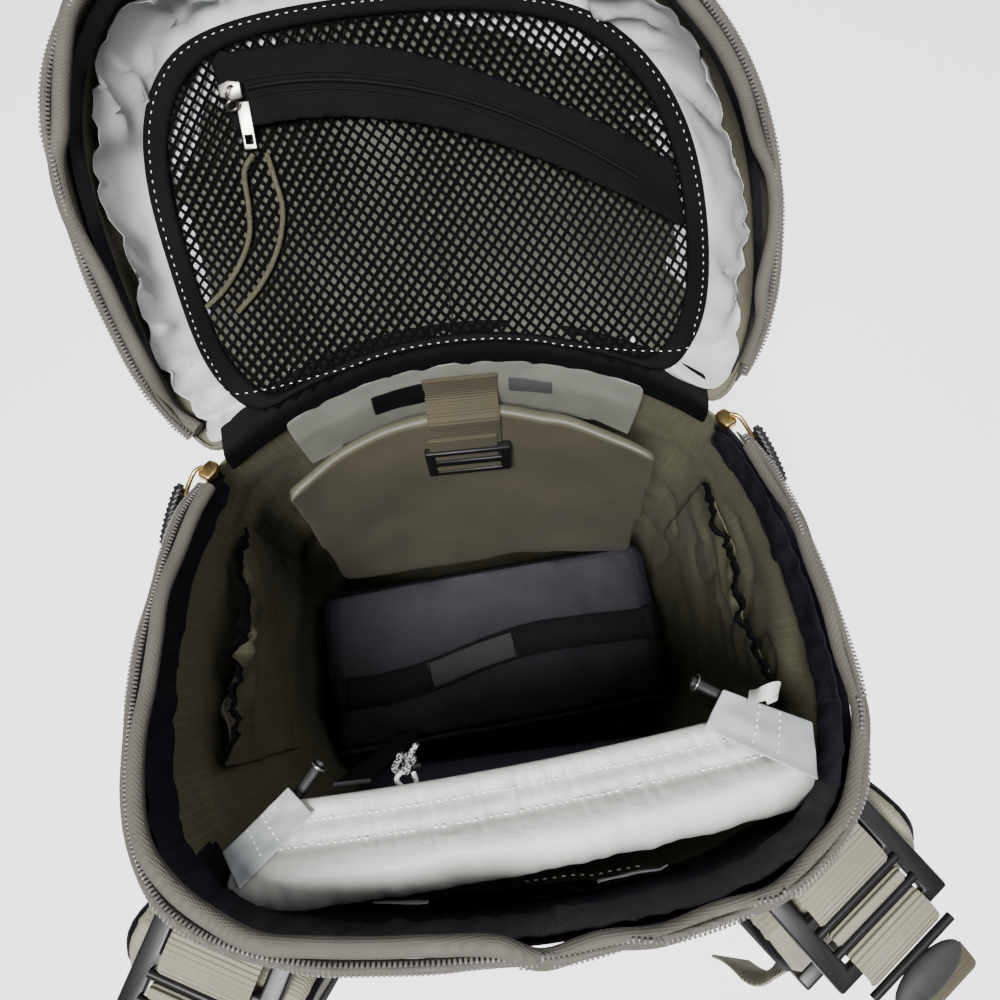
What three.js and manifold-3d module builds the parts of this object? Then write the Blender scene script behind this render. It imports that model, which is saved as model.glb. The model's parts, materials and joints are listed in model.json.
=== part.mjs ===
// A camera backpack that stands on its base with its lid thrown open. The bag is a sewn fabric shell,
// open at the top, with a zip round three sides of its mouth. The lid is a shallow fabric dish that
// hinges along the curved front edge, and carries a net pocket. Inside are a padded camera insert, a
// sleeve against the back wall, a divider at the front and a flat pocket on each side. Outside are the
// padded back panel, the shoulder straps and the hip belt. Sizes are millimetres, +Z is up, +Y is the
// front of the bag, away from the wearer, and the origin is in the middle of the base.
import * as THREE from "three";
import { mergeVertices } from "three/addons/utils/BufferGeometryUtils.js";
import Module from "manifold-3d";

const wasm = await Module();
wasm.setup();

// Clearances between pieces that lie against each other
const SEAT = 0.35;
const HINGE_GAP = 0.6;

// Bag shell
const HINGE_Z = 470;
const HINGE_Y = 85;
const RIM_BACK_Y = -118;
const RIM_HALF = 140;
const RIM_SLOPE = THREE.MathUtils.degToRad(20.9);
const FRONT_BULGE = 45;
const BASE_BACK_Y = -112;
const BASE_HALF = 154;
const BASE_BULGE = 32;
const SHELL_WALL = 2.5;
const FLOOR_WALL = 3;
const BELLY_SWELL = 7;
const BASE_TUCK = 14;
const BACK_STEPS = 40;
const FRONT_STEPS = 10;

// Zip along the mouth, half on the bag and half on the lid, and the facing tape behind it
const TAPE_HEIGHT = 8;
const TAPE_WALL = 1.4;
const TAPE_TAPER = 0.06;
const COIL_WIDTH = 4.8;
const COIL_HEIGHT = 3;
const ZIP_START = 0.024;
const ZIP_STEPS = 30;
const FACING_HEIGHT = 28;
const FACING_WALL = 1.2;

// Lid
const LID_OPEN = THREE.MathUtils.degToRad(33.8);
const LID_LENGTH = 222;
const LID_HALF = 150;
const LID_SKEW = 29;
const LID_DEPTH = 54;
const LID_RAMP = 100;
const LID_CENTRE = 104;
const HINGE_LIP = 7;
const LINING_WALL = 1.2;

// Net pocket in the lid
const NET_HALF = 133;
const NET_LENGTH = 194;
const NET_LOW_EDGE = 4;
const NET_CENTRE = 100;
const NET_WALL = 1.5;
const NET_LIFT = 3.8;
const NET_PITCH = 29;
const NET_GAP = 19;
const NET_MARGIN = 20;
const BINDING_WIDTH = 9;
const BINDING_WALL = 4.5;
const BAND_WIDTH = 31;
const BAND_WALL = 2.4;
const BAND_TOP = 162;
const BAND_APEX = -48;
const BAND_DROOP = 0.00248;
const BAND_LEFT = -81;
const BAND_RIGHT = 108;

// Collar, divider and hanger web at the front
const COLLAR_DROP = 4;
const COLLAR_HEIGHT = 26;
const COLLAR_INSET = 3.5;
const COLLAR_LEAN = 12;
const COLLAR_WALL = 1.4;
const DIVIDER_HALF = 95;
const DIVIDER_FOOT_HALF = 114;
const DIVIDER_FOOT_Z = 208;
const DIVIDER_FOOT_Y = 68;
const DIVIDER_SAG = 38;
const DIVIDER_FOOT_SAG = 6;
const DIVIDER_WALL = 7;
const HANGER_WIDTH = 38;
const HANGER_X = -2;
const HANGER_DROP = 54;
const WEB_WALL = 1.8;

// Side pockets
const POCKET_DROP = 66;
const POCKET_HEIGHT = 190;
const POCKET_GAPE = 3;
const POCKET_WALL = 1.2;
const POCKET_FIRST = 0.03;
const POCKET_LAST = 0.24;
const ELASTIC_HEIGHT = 7;
const ELASTIC_WALL = 3;

// Camera insert
const INSERT_WIDTH = 272;
const INSERT_DEPTH = 132;
const INSERT_HEIGHT = 190;
const INSERT_X = -1;
const INSERT_Y = -8;
const INSERT_WALL = 9;
const INSERT_CORNER_R = 16;
const INSERT_TURN = THREE.MathUtils.degToRad(4);
const INSERT_CROWN = 9;
const INSERT_STRAP_WIDTH = 26;
const INSERT_STRAP_RISE = 6;
const INSERT_STRAP_SWAY = 14;
const INSERT_STRAP_MARGIN = 12;
const PATCH_FIRST = 0.32;
const PATCH_LAST = 0.58;
const PATCH_WIDTH = 18;
const PATCH_WALL = 0.9;

// Sleeve against the back wall, and the stay rods that hold it up
const SLEEVE_X = 6;
const SLEEVE_HALF = 108;
const SLEEVE_Z = 508;
const SLEEVE_TURN = THREE.MathUtils.degToRad(4.6);
const SLEEVE_BACK_Y = -90;
const SLEEVE_FRONT_Y = -51;
const SLEEVE_DROP = 10;
const ROLL_R = 11;
const STRIP_WALL = 3;
const SLEEVE_TAB_FIRST = 0.15;
const SLEEVE_TAB_LAST = 0.85;
const SLEEVE_TAB_REACH = 8;
const PANEL_HALF = 70;
const PANEL_FOOT_HALF = 96;
const PANEL_KNEE_Z = 214;
const PANEL_KNEE_Y = -90;
const PANEL_FOOT_Y = -90;
const ROD_R = 3;
const ROD_LENGTH = 30;
const ROD_X = 84;
const ROD_SPLAY = 8;
const ROD_SET_BACK = 12;
const NET_CUT_HALF = 14;
const TRIM_END = 5;
const TRIM_LIFT = 0.4;
const RING_WIRE = 0.9;

// Back panel, shoulder straps and hip belt
const BACK_PAD_FOOT = 60;
const BACK_PAD_TOP = 425;
const BACK_PAD_WALL = 14;
const BACK_PAD_SHARE = 0.125;
const STRAP_WIDTH = 72;
const STRAP_WALL = 11;
const STRAP_REACH = 66;
const STRAP_TOP = 506;
const STRAP_RIGHT_SHARE = 0.315;
const STRAP_LEFT_SHARE = 0.668;
const STRAP_WEB_WIDTH = 25;
const STRAP_WEB_FOOT = 58;
const BUCKLE_WIDTH = 50;
const BUCKLE_LENGTH = 46;
const BUCKLE_WALL = 5;
const BUCKLE_BAR = 5;
const LIFTER_WIDTH = 36;
const LIFTER_OVERHANG = 12;
const LIFTER_TAIL = 30;
const CHEST_WEB_WIDTH = 20;
const CHEST_WEB_DROP = 44;
const CHEST_CLIP_WIDTH = 28;
const CHEST_CLIP_WALL = 7;
const BELT_FOOT = 48;
const BELT_HEIGHT = 88;
const BELT_WALL = 10;
const BELT_FIRST = 0.05;
const BELT_LAST = 0.275;

// Zip sliders and their pulls
const SLIDER_LENGTH = 10;
const SLIDER_WIDTH = 8;
const SLIDER_HEIGHT = 5;
const TAB_LENGTH = 20;
const TAB_WIDTH = 6;
const TAB_WALL = 1.2;
const GRIP_WIDTH = 8;
const GRIP_WALL = 5;
const NET_SLIDER_X = -75;
const CORD_R = 1.3;
const CORD_SIDES = 8;
const CORD_STEPS = 18;

const paint = (color, roughness, metalness = 0) =>
  new THREE.MeshStandardMaterial({ color, roughness, metalness });
const OLIVE_FABRIC = paint(0x77735f, 0.85);
const OLIVE_LINING = paint(0x5d573a, 0.8);
const GREY_LINING = paint(0xb9bbb8, 0.55);
const NAVY_TAPE = paint(0x25252e, 0.8);
const BLACK_FABRIC = paint(0x1b1b1f, 0.75);
const BLACK_NET = paint(0x131313, 0.7);
const TAN_FABRIC = paint(0x6a624c, 0.7);
const WHITE_NYLON = paint(0xd9d7d2, 0.5);
const KHAKI_WEBBING = paint(0x8f8a76, 0.8);
const BLACK_PLASTIC = paint(0x1d1d1b, 0.45);
const ZIP_TAPE = paint(0x5f5951, 0.8);
const ZIP_COIL = paint(0x4b4743, 0.4);
const STEEL = paint(0xb4b0a8, 0.3, 1);
const BRASS = paint(0xb9a86c, 0.3, 1);

// The bag's sections: level and tuck as shares of its height and BASE_TUCK, swell of BELLY_SWELL
const BAG_SECTIONS = [
  { level: 0, swell: 0, tuck: 1 },
  { level: 0.012, swell: 0, tuck: 0.42 },
  { level: 0.04, swell: 0.1, tuck: 0 },
  { level: 0.2, swell: 0.7, tuck: 0 },
  { level: 0.42, swell: 1, tuck: 0 },
  { level: 0.66, swell: 0.85, tuck: 0 },
  { level: 0.86, swell: 0.3, tuck: 0 },
  { level: 1, swell: 0, tuck: 0 },
];

// Half of a plan outline, from the hinge corner to the middle of the back: back is a share of the
// depth, and the other columns are shares of the half width of each outline
const OUTLINES = [
  { back: 0, rim: 0.865, base: 0.94, lid: 0.81, net: 0.74 },
  { back: 0.14, rim: 0.95, base: 0.975, lid: 0.935, net: 0.91 },
  { back: 0.36, rim: 0.995, base: 1, lid: 1, net: 1 },
  { back: 0.57, rim: 0.995, base: 1, lid: 0.99, net: 0.995 },
  { back: 0.74, rim: 0.955, base: 0.985, lid: 0.9, net: 0.93 },
  { back: 0.86, rim: 0.86, base: 0.92, lid: 0.745, net: 0.82 },
  { back: 0.94, rim: 0.69, base: 0.78, lid: 0.54, net: 0.66 },
  { back: 0.985, rim: 0.42, base: 0.5, lid: 0.28, net: 0.38 },
  { back: 1, rim: 0, base: 0, lid: 0, net: 0 },
];

// The lid's sections: reach scales its outline, hinge that of the front edge, fall the depth, and
// side is how far the walls' inset still moves a point along the floor
const LID_SECTIONS = [
  { reach: 1, hinge: 1, fall: 0, side: 1 },
  { reach: 1.012, hinge: 0.994, fall: 0.4, side: 1 },
  { reach: 1.01, hinge: 0.99, fall: 0.45, side: 1 },
  { reach: 0.985, hinge: 0.975, fall: 0.82, side: 1 },
  { reach: 0.94, hinge: 0.95, fall: 1, side: 1 },
  { reach: 0.8, hinge: 0.82, fall: 1, side: 0 },
  { reach: 0.56, hinge: 0.58, fall: 1, side: 0 },
  { reach: 0.28, hinge: 0.29, fall: 1, side: 0 },
];

// The line of a shoulder strap, as shares of STRAP_REACH out from the bag and of STRAP_TOP
const STRAP_LINE = [
  { out: 0, up: 0.865 },
  { out: 0.03, up: 0.925 },
  { out: 0.17, up: 0.978 },
  { out: 0.4, up: 1 },
  { out: 0.63, up: 0.975 },
  { out: 0.83, up: 0.9 },
  { out: 0.96, up: 0.78 },
  { out: 1, up: 0.64 },
  { out: 0.92, up: 0.5 },
  { out: 0.72, up: 0.38 },
];

// The two cords on the net pocket's tab, as places on the net: across, and up from the hinge
const NET_CORDS = [
  [[-76, 134], [-83, 127], [-86, 112], [-89, 99], [-96, 87], [-106, 76], [-117, 68]],
  [[-70, 134], [-70, 122], [-70, 110], [-74, 97], [-80, 86], [-89, 75], [-101, 65]],
];

// Sections of flat and padded strips: across as a share of half the width, lift of the thickness
const WEB_SECTION = [
  { across: -1, lift: 0 },
  { across: 1, lift: 0 },
  { across: 1, lift: 1 },
  { across: -1, lift: 1 },
];
const PAD_SECTION = [
  { across: -0.86, lift: 0 },
  { across: 0.86, lift: 0 },
  { across: 1, lift: 0.35 },
  { across: 1, lift: 0.65 },
  { across: 0.86, lift: 1 },
  { across: -0.86, lift: 1 },
  { across: -1, lift: 0.65 },
  { across: -1, lift: 0.35 },
];

const part = new THREE.Group();
const { lerp: mix, clamp, smoothstep } = THREE.MathUtils;
const smooth = (x) => smoothstep(x, 0, 1);
const vec = (x, y, z) => new THREE.Vector3(x, y, z);
const steps = (count) => Array.from({ length: count + 1 }, (_, i) => i / count);
const grid = (rows, cols, point) => steps(rows).map((v) => steps(cols).map((u) => point(u, v)));

// The geometry with nothing but its positions, so that shared corners merge
function welded(geometry) {
  const plain = geometry.clone();
  plain.deleteAttribute("normal");
  plain.deleteAttribute("uv");
  return mergeVertices(plain, 1e-4);
}

// The geometry with shared corners merged and its triangles turned to face out
function outward(geometry) {
  const solid = welded(geometry);
  const p = solid.getAttribute("position");
  const index = solid.index.array;
  const [a, b, c] = [vec(0, 0, 0), vec(0, 0, 0), vec(0, 0, 0)];
  let volume = 0;
  for (let i = 0; i < index.length; i += 3) {
    a.fromBufferAttribute(p, index[i]);
    b.fromBufferAttribute(p, index[i + 1]);
    c.fromBufferAttribute(p, index[i + 2]);
    volume += a.dot(b.cross(c));
  }
  if (volume < 0) {
    for (let i = 0; i < index.length; i += 3) {
      [index[i + 1], index[i + 2]] = [index[i + 2], index[i + 1]];
    }
  }
  return solid;
}

// Names a geometry, gives it its material and adds it to the part
function add(name, geometry, material) {
  const mesh = new THREE.Mesh(outward(geometry), material);
  mesh.name = name;
  part.add(mesh);
}

function geometryOf(points, triangles) {
  const flat = points.flatMap((p) => [p.x, p.y, p.z]);
  const geometry = new THREE.BufferGeometry();
  geometry.setAttribute("position", new THREE.Float32BufferAttribute(flat, 3));
  geometry.setIndex(triangles);
  return geometry;
}

// A closed solid skinned through rings of points, with a fan over the first and the last ring
function loft(rings) {
  const count = rings[0].length;
  const points = rings.flat();
  const triangles = [];
  for (let r = 0; r + 1 < rings.length; r++) {
    for (let i = 0; i < count; i++) {
      const a = r * count + i;
      const b = r * count + ((i + 1) % count);
      triangles.push(a, b, b + count, a, b + count, a + count);
    }
  }
  for (const [ring, turned] of [[0, false], [rings.length - 1, true]]) {
    const middle = points.length;
    points.push(rings[ring].reduce((sum, p) => sum.add(p), vec(0, 0, 0)).divideScalar(count));
    for (let i = 0; i < count; i++) {
      const a = ring * count + i;
      const b = ring * count + ((i + 1) % count);
      triangles.push(...(turned ? [a, b, middle] : [b, a, middle]));
    }
  }
  return geometryOf(points, triangles);
}

// A closed hoop of stations, each the same small polygon, joined end to end
function hoop(stations) {
  const count = stations[0].length;
  const triangles = [];
  stations.forEach((_, s) => {
    const next = (s + 1) % stations.length;
    for (let i = 0; i < count; i++) {
      const j = (i + 1) % count;
      const [a, b] = [s * count + i, s * count + j];
      const [c, d] = [next * count + i, next * count + j];
      triangles.push(a, b, d, a, d, c);
    }
  });
  return geometryOf(stations.flat(), triangles);
}

// A sheet of cloth or foam between two grids of points, with its four edges closed
function sheet(outer, inner) {
  const rows = outer.length;
  const cols = outer[0].length;
  const half = rows * cols;
  const at = (r, c) => r * cols + c;
  const triangles = [];
  const quad = (a, b, c, d) => triangles.push(a, b, c, a, c, d);
  for (let r = 0; r + 1 < rows; r++) {
    for (let c = 0; c + 1 < cols; c++) {
      quad(at(r, c), at(r, c + 1), at(r + 1, c + 1), at(r + 1, c));
      quad(half + at(r, c), half + at(r + 1, c), half + at(r + 1, c + 1), half + at(r, c + 1));
    }
    quad(at(r, 0), at(r + 1, 0), half + at(r + 1, 0), half + at(r, 0));
    quad(at(r, cols - 1), half + at(r, cols - 1), half + at(r + 1, cols - 1), at(r + 1, cols - 1));
  }
  for (let c = 0; c + 1 < cols; c++) {
    quad(at(0, c), half + at(0, c), half + at(0, c + 1), at(0, c + 1));
    quad(at(rows - 1, c), at(rows - 1, c + 1), half + at(rows - 1, c + 1), half + at(rows - 1, c));
  }
  return geometryOf([...outer.flat(), ...inner.flat()], triangles);
}

// A strip of webbing or foam along a route of points, with its width along across at each of them
function strip(route, across, width, wall, section = WEB_SECTION) {
  const stations = route.map((p, i) => {
    const tangent = route[Math.min(i + 1, route.length - 1)].clone().sub(route[Math.max(i - 1, 0)]);
    const side = (Array.isArray(across) ? across[i] : across).clone().normalize();
    const up = tangent.normalize().cross(side).normalize();
    return section.map((corner) =>
      p.clone()
        .addScaledVector(side, corner.across * width * 0.5)
        .addScaledVector(up, corner.lift * wall),
    );
  });
  return loft(stations);
}

function tube(curve, radius, sides, count) {
  const round = new THREE.Shape(
    steps(sides).slice(0, -1).map((s) => {
      const angle = s * Math.PI * 2;
      return new THREE.Vector2(radius * Math.cos(angle), radius * Math.sin(angle));
    }),
  );
  return new THREE.ExtrudeGeometry(round, { extrudePath: curve, steps: count });
}

// A flat plate with rectangular slots, its length along +Y and its thickness along +Z
function slottedPlate(width, length, wall, bar, slots) {
  const rectangle = (shape, w, y0, y1) => {
    shape.moveTo(-w / 2, y0);
    shape.lineTo(w / 2, y0);
    shape.lineTo(w / 2, y1);
    shape.lineTo(-w / 2, y1);
    return shape;
  };
  const plate = rectangle(new THREE.Shape(), width, -length / 2, length / 2);
  plate.holes = slots.map(([y0, y1]) => rectangle(new THREE.Path(), width - 2 * bar, y0, y1));
  return new THREE.ExtrudeGeometry(plate, { depth: wall, bevelEnabled: false });
}

// The geometry moved so that its X, Y and Z axes lie along the given directions from a point
function placed(geometry, x, y, z, point) {
  return geometry.applyMatrix4(new THREE.Matrix4().makeBasis(x, y, z).setPosition(point));
}

// A plan outline: round the back from the right hinge corner to the left, then along the front,
// whose points stand out from the hinge line by front(x)
function planRing(share, half, hinge, back, front) {
  const side = OUTLINES.map((row) => [half * share(row), mix(hinge, back, row.back)]);
  const curve = new THREE.SplineCurve(
    [...side, ...side.slice(0, -1).reverse().map(([x, y]) => [-x, y])].map(
      ([x, y]) => new THREE.Vector2(x, y),
    ),
  );
  const ring = curve.getSpacedPoints(BACK_STEPS);
  for (let i = 1; i < FRONT_STEPS; i++) {
    const x = mix(-side[0][0], side[0][0], i / FRONT_STEPS);
    ring.push(new THREE.Vector2(x, hinge + front(x)));
  }
  return ring;
}

// How far an arc of the given half chord and rise stands out at x
function arcRise(x, half, rise) {
  const radius = (half * half + rise * rise) / (2 * rise);
  const inside = Math.min(Math.abs(x), half);
  return Math.sqrt(radius * radius - inside * inside) - (radius - rise);
}

// The unit normals of a ring, pointing to its inside
function inwardNormals(ring) {
  return ring.map((_, i) => {
    const before = ring[(i + ring.length - 1) % ring.length];
    const after = ring[(i + 1) % ring.length];
    return new THREE.Vector2(after.y - before.y, before.x - after.x).normalize();
  });
}

// Linear interpolation in a column of a table by another, rising one
function readTable(table, key, at, column) {
  const next = table.findIndex((row) => row[key] >= at);
  if (next === 0) return table[0][column];
  if (next < 0) return table[table.length - 1][column];
  const [low, high] = [table[next - 1], table[next]];
  return mix(low[column], high[column], (at - low[key]) / (high[key] - low[key]));
}

const HINGE_HALF = RIM_HALF * OUTLINES[0].rim;
const rimHeight = (y) => HINGE_Z + Math.max(0, HINGE_Y - y) * Math.tan(RIM_SLOPE);

function bagOutline(level) {
  const share = (row) => mix(row.base, row.rim, level);
  const half = mix(BASE_HALF, RIM_HALF, level);
  const rise = mix(BASE_BULGE, FRONT_BULGE, level);
  const corner = half * share(OUTLINES[0]);
  const back = mix(BASE_BACK_Y, RIM_BACK_Y, level);
  return planRing(share, half, HINGE_Y, back, (x) => arcRise(x, corner, rise));
}

const RIM_HEIGHTS = bagOutline(1).map((p) => rimHeight(p.y));

// The bag's wall at a level, moved inwards by inset; the back panel stays flat
function bagRing(level, inset) {
  const ring = bagOutline(level);
  const swell = BELLY_SWELL * readTable(BAG_SECTIONS, "level", level, "swell");
  const tuck = BASE_TUCK * readTable(BAG_SECTIONS, "level", level, "tuck");
  return inwardNormals(ring).map((normal, i) => {
    const flatness = clamp(normal.y, 0, 1);
    const shift = inset + tuck - swell * (1 - flatness);
    return vec(
      ring[i].x + normal.x * shift, ring[i].y + normal.y * shift, level * RIM_HEIGHTS[i],
    );
  });
}

// A point on the bag's wall: place is a ring index, drop is down from the rim
function wallPoint(place, drop, inset) {
  const count = BACK_STEPS + FRONT_STEPS;
  const low = Math.floor(place);
  const height = mix(RIM_HEIGHTS[low % count], RIM_HEIGHTS[(low + 1) % count], place - low);
  const ring = bagRing(Math.min(1, 1 - drop / height), inset);
  const point = ring[low % count].clone().lerp(ring[(low + 1) % count], place - low);
  point.z = height - drop;
  return point;
}

const backWall = (share, drop, inset) => wallPoint(share * BACK_STEPS, drop, inset);
const frontWall = (share, drop, inset) =>
  wallPoint(BACK_STEPS + share * FRONT_STEPS, drop, inset);
const backWallAt = (share, z, inset) => backWall(share, backWall(share, 0, 0).z - z, inset);

// Bag shell, one sewn piece with a flat floor
function makeBag() {
  const outer = BAG_SECTIONS.map((row) => bagRing(row.level, 0));
  const inner = BAG_SECTIONS.slice(1).map((row) => bagRing(row.level, SHELL_WALL));
  inner[0].forEach((p) => {
    p.z = FLOOR_WALL;
  });
  add("bag_body", loft([...outer, ...inner.reverse()]), OLIVE_FABRIC);
}

const tapeHeight = (share) =>
  1 + (TAPE_HEIGHT - 1) * smooth(Math.min(share, 1 - share) / TAPE_TAPER);

// A zip's tape and coil on one edge; edge(share, rise, inset) is a point over that edge
function addZip(name, edge) {
  const box = (share, low, high, near, far) => [
    edge(share, low, near), edge(share, low, far), edge(share, high, far), edge(share, high, near),
  ];
  const shares = steps(ZIP_STEPS).map((s) => mix(ZIP_START, 1 - ZIP_START, s));
  const tape = shares.map((s) => box(s, 2 * SEAT, tapeHeight(s), SEAT, SEAT + TAPE_WALL));
  const coilInset = SEAT + (TAPE_WALL - COIL_WIDTH) / 2;
  const coil = shares.map((s) => {
    const foot = tapeHeight(s) + SEAT;
    return box(s, foot, foot + COIL_HEIGHT, coilInset, coilInset + COIL_WIDTH);
  });
  add(`${name}_zip_tape`, loft(tape), ZIP_TAPE);
  add(`${name}_zip_coil`, loft(coil), ZIP_COIL);
}

function makeBagMouth() {
  addZip("bag", (share, rise, inset) => backWall(share, -rise, inset));
  const near = SHELL_WALL + SEAT;
  const facing = (inset) =>
    grid(2, BACK_STEPS, (u, v) => backWall(mix(0.01, 0.99, u), v * FACING_HEIGHT, inset));
  add("bag_facing", sheet(facing(near), facing(near + FACING_WALL)), NAVY_TAPE);
}

// The lid's own frame: x across, s from the hinge to the free edge, depth to the outside of the lid
const LID_ALONG = vec(0, Math.cos(LID_OPEN), Math.sin(LID_OPEN));
const LID_OUT = vec(0, Math.sin(LID_OPEN), -Math.cos(LID_OPEN));
const lidSkew = (s) => LID_SKEW * Math.max(0, s / LID_LENGTH) ** 2;
const onLid = (x, s, depth) =>
  vec(x - lidSkew(s), HINGE_Y, HINGE_Z + HINGE_GAP)
    .addScaledVector(LID_ALONG, s)
    .addScaledVector(LID_OUT, depth);

const hingeRise = (x) => arcRise(x, HINGE_HALF, FRONT_BULGE);
const LID_OUTLINE = planRing((row) => row.lid, LID_HALF, 0, -LID_LENGTH, (x) =>
  -Math.cos(LID_OPEN) * hingeRise(x),
);
const LID_NORMALS = inwardNormals(LID_OUTLINE);

// The depth of the lid's floor, from the curved hinge to the full depth
function lidFloor(x, s) {
  const rise = hingeRise(x);
  const side = Math.min(1, Math.abs(x) / HINGE_HALF) ** 4;
  const atHinge = rise * Math.sin(LID_OPEN) + HINGE_LIP * side;
  const ramp = smooth(clamp((s - rise * Math.cos(LID_OPEN)) / LID_RAMP, 0, 1));
  return mix(atHinge, LID_DEPTH, ramp);
}

function lidPoint(i, row, inset) {
  const onHinge = i > BACK_STEPS;
  const scale = onHinge ? row.hinge : row.reach;
  const shift = inset * row.side;
  const x = LID_OUTLINE[i].x * scale + LID_NORMALS[i].x * shift;
  const v = -LID_CENTRE + (LID_OUTLINE[i].y + LID_CENTRE) * scale + LID_NORMALS[i].y * shift;
  const floor = lidFloor(x, -v) - inset;
  return onLid(x, -v, onHinge ? floor : row.fall * floor);
}

const lidRing = (row, inset) => LID_OUTLINE.map((_, i) => lidPoint(i, row, inset));

// A point over the lid's free edge, at a share of the way round it
function lidEdge(share, rise, inset) {
  const place = clamp(share, 0, 1) * BACK_STEPS;
  const low = Math.min(Math.floor(place), BACK_STEPS - 1);
  const rim = LID_OUTLINE[low].clone().lerp(LID_OUTLINE[low + 1], place - low);
  const normal = LID_NORMALS[low].clone().lerp(LID_NORMALS[low + 1], place - low);
  return onLid(rim.x + normal.x * inset, -(rim.y + normal.y * inset), -rise);
}

function makeLid() {
  const dish = (rows, inset, wall) =>
    loft([
      ...rows.map((row) => lidRing(row, inset)).reverse(),
      ...rows.map((row) => lidRing(row, inset + wall)),
    ]);
  const near = SHELL_WALL + 5 * SEAT;
  add("lid_shell", dish(LID_SECTIONS, 0, SHELL_WALL), OLIVE_FABRIC);
  add("lid_lining", dish(LID_SECTIONS.slice(2), near, LINING_WALL), GREY_LINING);
  const facing = (inset) =>
    LID_SECTIONS.slice(0, 2).map((row) =>
      steps(BACK_STEPS - 2).map((_, i) => lidPoint(i + 1, row, inset)),
    );
  add("lid_facing", sheet(facing(near), facing(near + FACING_WALL)), NAVY_TAPE);
  addZip("lid", lidEdge);
}

const netRise = (x) => Math.cos(LID_OPEN) * hingeRise(x);
const NET_CORNER_RISE = netRise(NET_HALF * OUTLINES[0].net);
const NET_OUTLINE = planRing(
  (row) => row.net, NET_HALF, -NET_LOW_EDGE - NET_CORNER_RISE, -NET_LENGTH,
  (x) => NET_CORNER_RISE - netRise(x),
);

const netDepth = (x, s) => lidFloor(x, s) - SHELL_WALL - LINING_WALL - NET_LIFT;

// A point of the net pocket: scale shrinks its outline, lift is up from its back
function netPoint(i, scale, lift) {
  const x = NET_OUTLINE[i].x * scale;
  const s = NET_CENTRE - (NET_OUTLINE[i].y + NET_CENTRE) * scale;
  return onLid(x, s, netDepth(x, s) - lift);
}

const netRing = (scale, lift) => NET_OUTLINE.map((_, i) => netPoint(i, scale, lift));
const bandMiddle = (x) => BAND_TOP - BAND_DROOP * (x - BAND_APEX) ** 2;

// Whether a circle of radius margin round a point lies inside the net pocket's outline
function insideNet(x, s, margin) {
  const ring = NET_OUTLINE.map((p) => [p.x, -p.y]);
  let odd = false;
  let nearest = Infinity;
  ring.forEach(([ax, as], i) => {
    const [bx, bs] = ring[(i + 1) % ring.length];
    if (as > s !== bs > s && x < ((bx - ax) * (s - as)) / (bs - as) + ax) odd = !odd;
    const along = (x - ax) * (bx - ax) + (s - as) * (bs - as);
    const t = clamp(along / ((bx - ax) ** 2 + (bs - as) ** 2), 0, 1);
    nearest = Math.min(nearest, Math.hypot(x - mix(ax, bx, t), s - mix(as, bs, t)));
  });
  return odd && nearest > margin;
}

// The places of the gaps in the net, in rows set half a pitch apart
function netGaps() {
  const gaps = [];
  const rows = Math.floor(NET_LENGTH / (NET_PITCH / 2));
  const cols = Math.floor((2 * NET_HALF) / NET_PITCH);
  for (let r = 0; r <= rows; r++) {
    for (let c = -cols; c <= cols; c++) {
      const x = (c + (r % 2) / 2) * NET_PITCH;
      const s = (r * NET_PITCH) / 2;
      const clear = Math.abs(s - bandMiddle(x)) > BAND_WIDTH / 2 + NET_GAP * 0.7;
      if (clear && insideNet(x, s, NET_MARGIN)) gaps.push([x, s]);
    }
  }
  return gaps;
}

function solidOf(geometry) {
  const closed = outward(geometry);
  const mesh = new wasm.Mesh({
    numProp: 3,
    vertProperties: new Float32Array(closed.getAttribute("position").array),
    triVerts: new Uint32Array(closed.index.array),
  });
  return new wasm.Manifold(mesh);
}

function geometryFrom(solid) {
  const mesh = solid.getMesh();
  const geometry = new THREE.BufferGeometry();
  const positions = new Float32Array(mesh.vertProperties);
  geometry.setAttribute("position", new THREE.BufferAttribute(positions, 3));
  geometry.setIndex([...mesh.triVerts]);
  return geometry;
}

function makeNetPocket() {
  const innerScale = 1 - BINDING_WIDTH / NET_CENTRE;
  const edge = innerScale - SEAT / NET_HALF - 0.004;
  const scales = [0.3, 0.65, edge];
  const plate = loft([
    ...scales.map((scale) => netRing(scale, 0)),
    ...scales.map((scale) => netRing(scale, NET_WALL)).reverse(),
  ]);
  let net = solidOf(plate);
  for (const [x, s] of netGaps()) {
    const diamond = (depth) =>
      [[1, 0], [0, 1], [-1, 0], [0, -1]].map(([dx, ds]) =>
        onLid(x + dx * NET_GAP * 0.5, s + ds * NET_GAP * 0.6, depth),
      );
    const middle = netDepth(x, s);
    const ends = [diamond(middle - NET_CUT_HALF), diamond(middle + NET_CUT_HALF)];
    net = net.subtract(solidOf(loft(ends)));
  }
  // A cut that grazes a fold of the plate leaves a crumb, and the net is the largest body
  const bodies = net.decompose().sort((a, b) => b.volume() - a.volume());
  add("net_pocket_panel", geometryFrom(bodies[0]), BLACK_NET);

  const stations = NET_OUTLINE.map((_, i) => [
    netPoint(i, 1, 0), netPoint(i, innerScale, 0),
    netPoint(i, innerScale, BINDING_WALL), netPoint(i, 1, BINDING_WALL),
  ]);
  add("net_pocket_binding", hoop(stations), BLACK_FABRIC);

  const foot = NET_WALL + 0.7 * NET_LIFT;
  const bandAt = (lift) =>
    grid(2, 18, (u, v) => {
      const x = mix(BAND_LEFT, BAND_RIGHT, u);
      const s = bandMiddle(x) + (v - 0.5) * BAND_WIDTH;
      return onLid(x, s, netDepth(x, s) - lift);
    });
  add("net_pocket_zip_band", sheet(bandAt(foot), bandAt(foot + BAND_WALL)), BLACK_FABRIC);
  makeNetPull(foot + BAND_WALL + SEAT);
}

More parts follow.
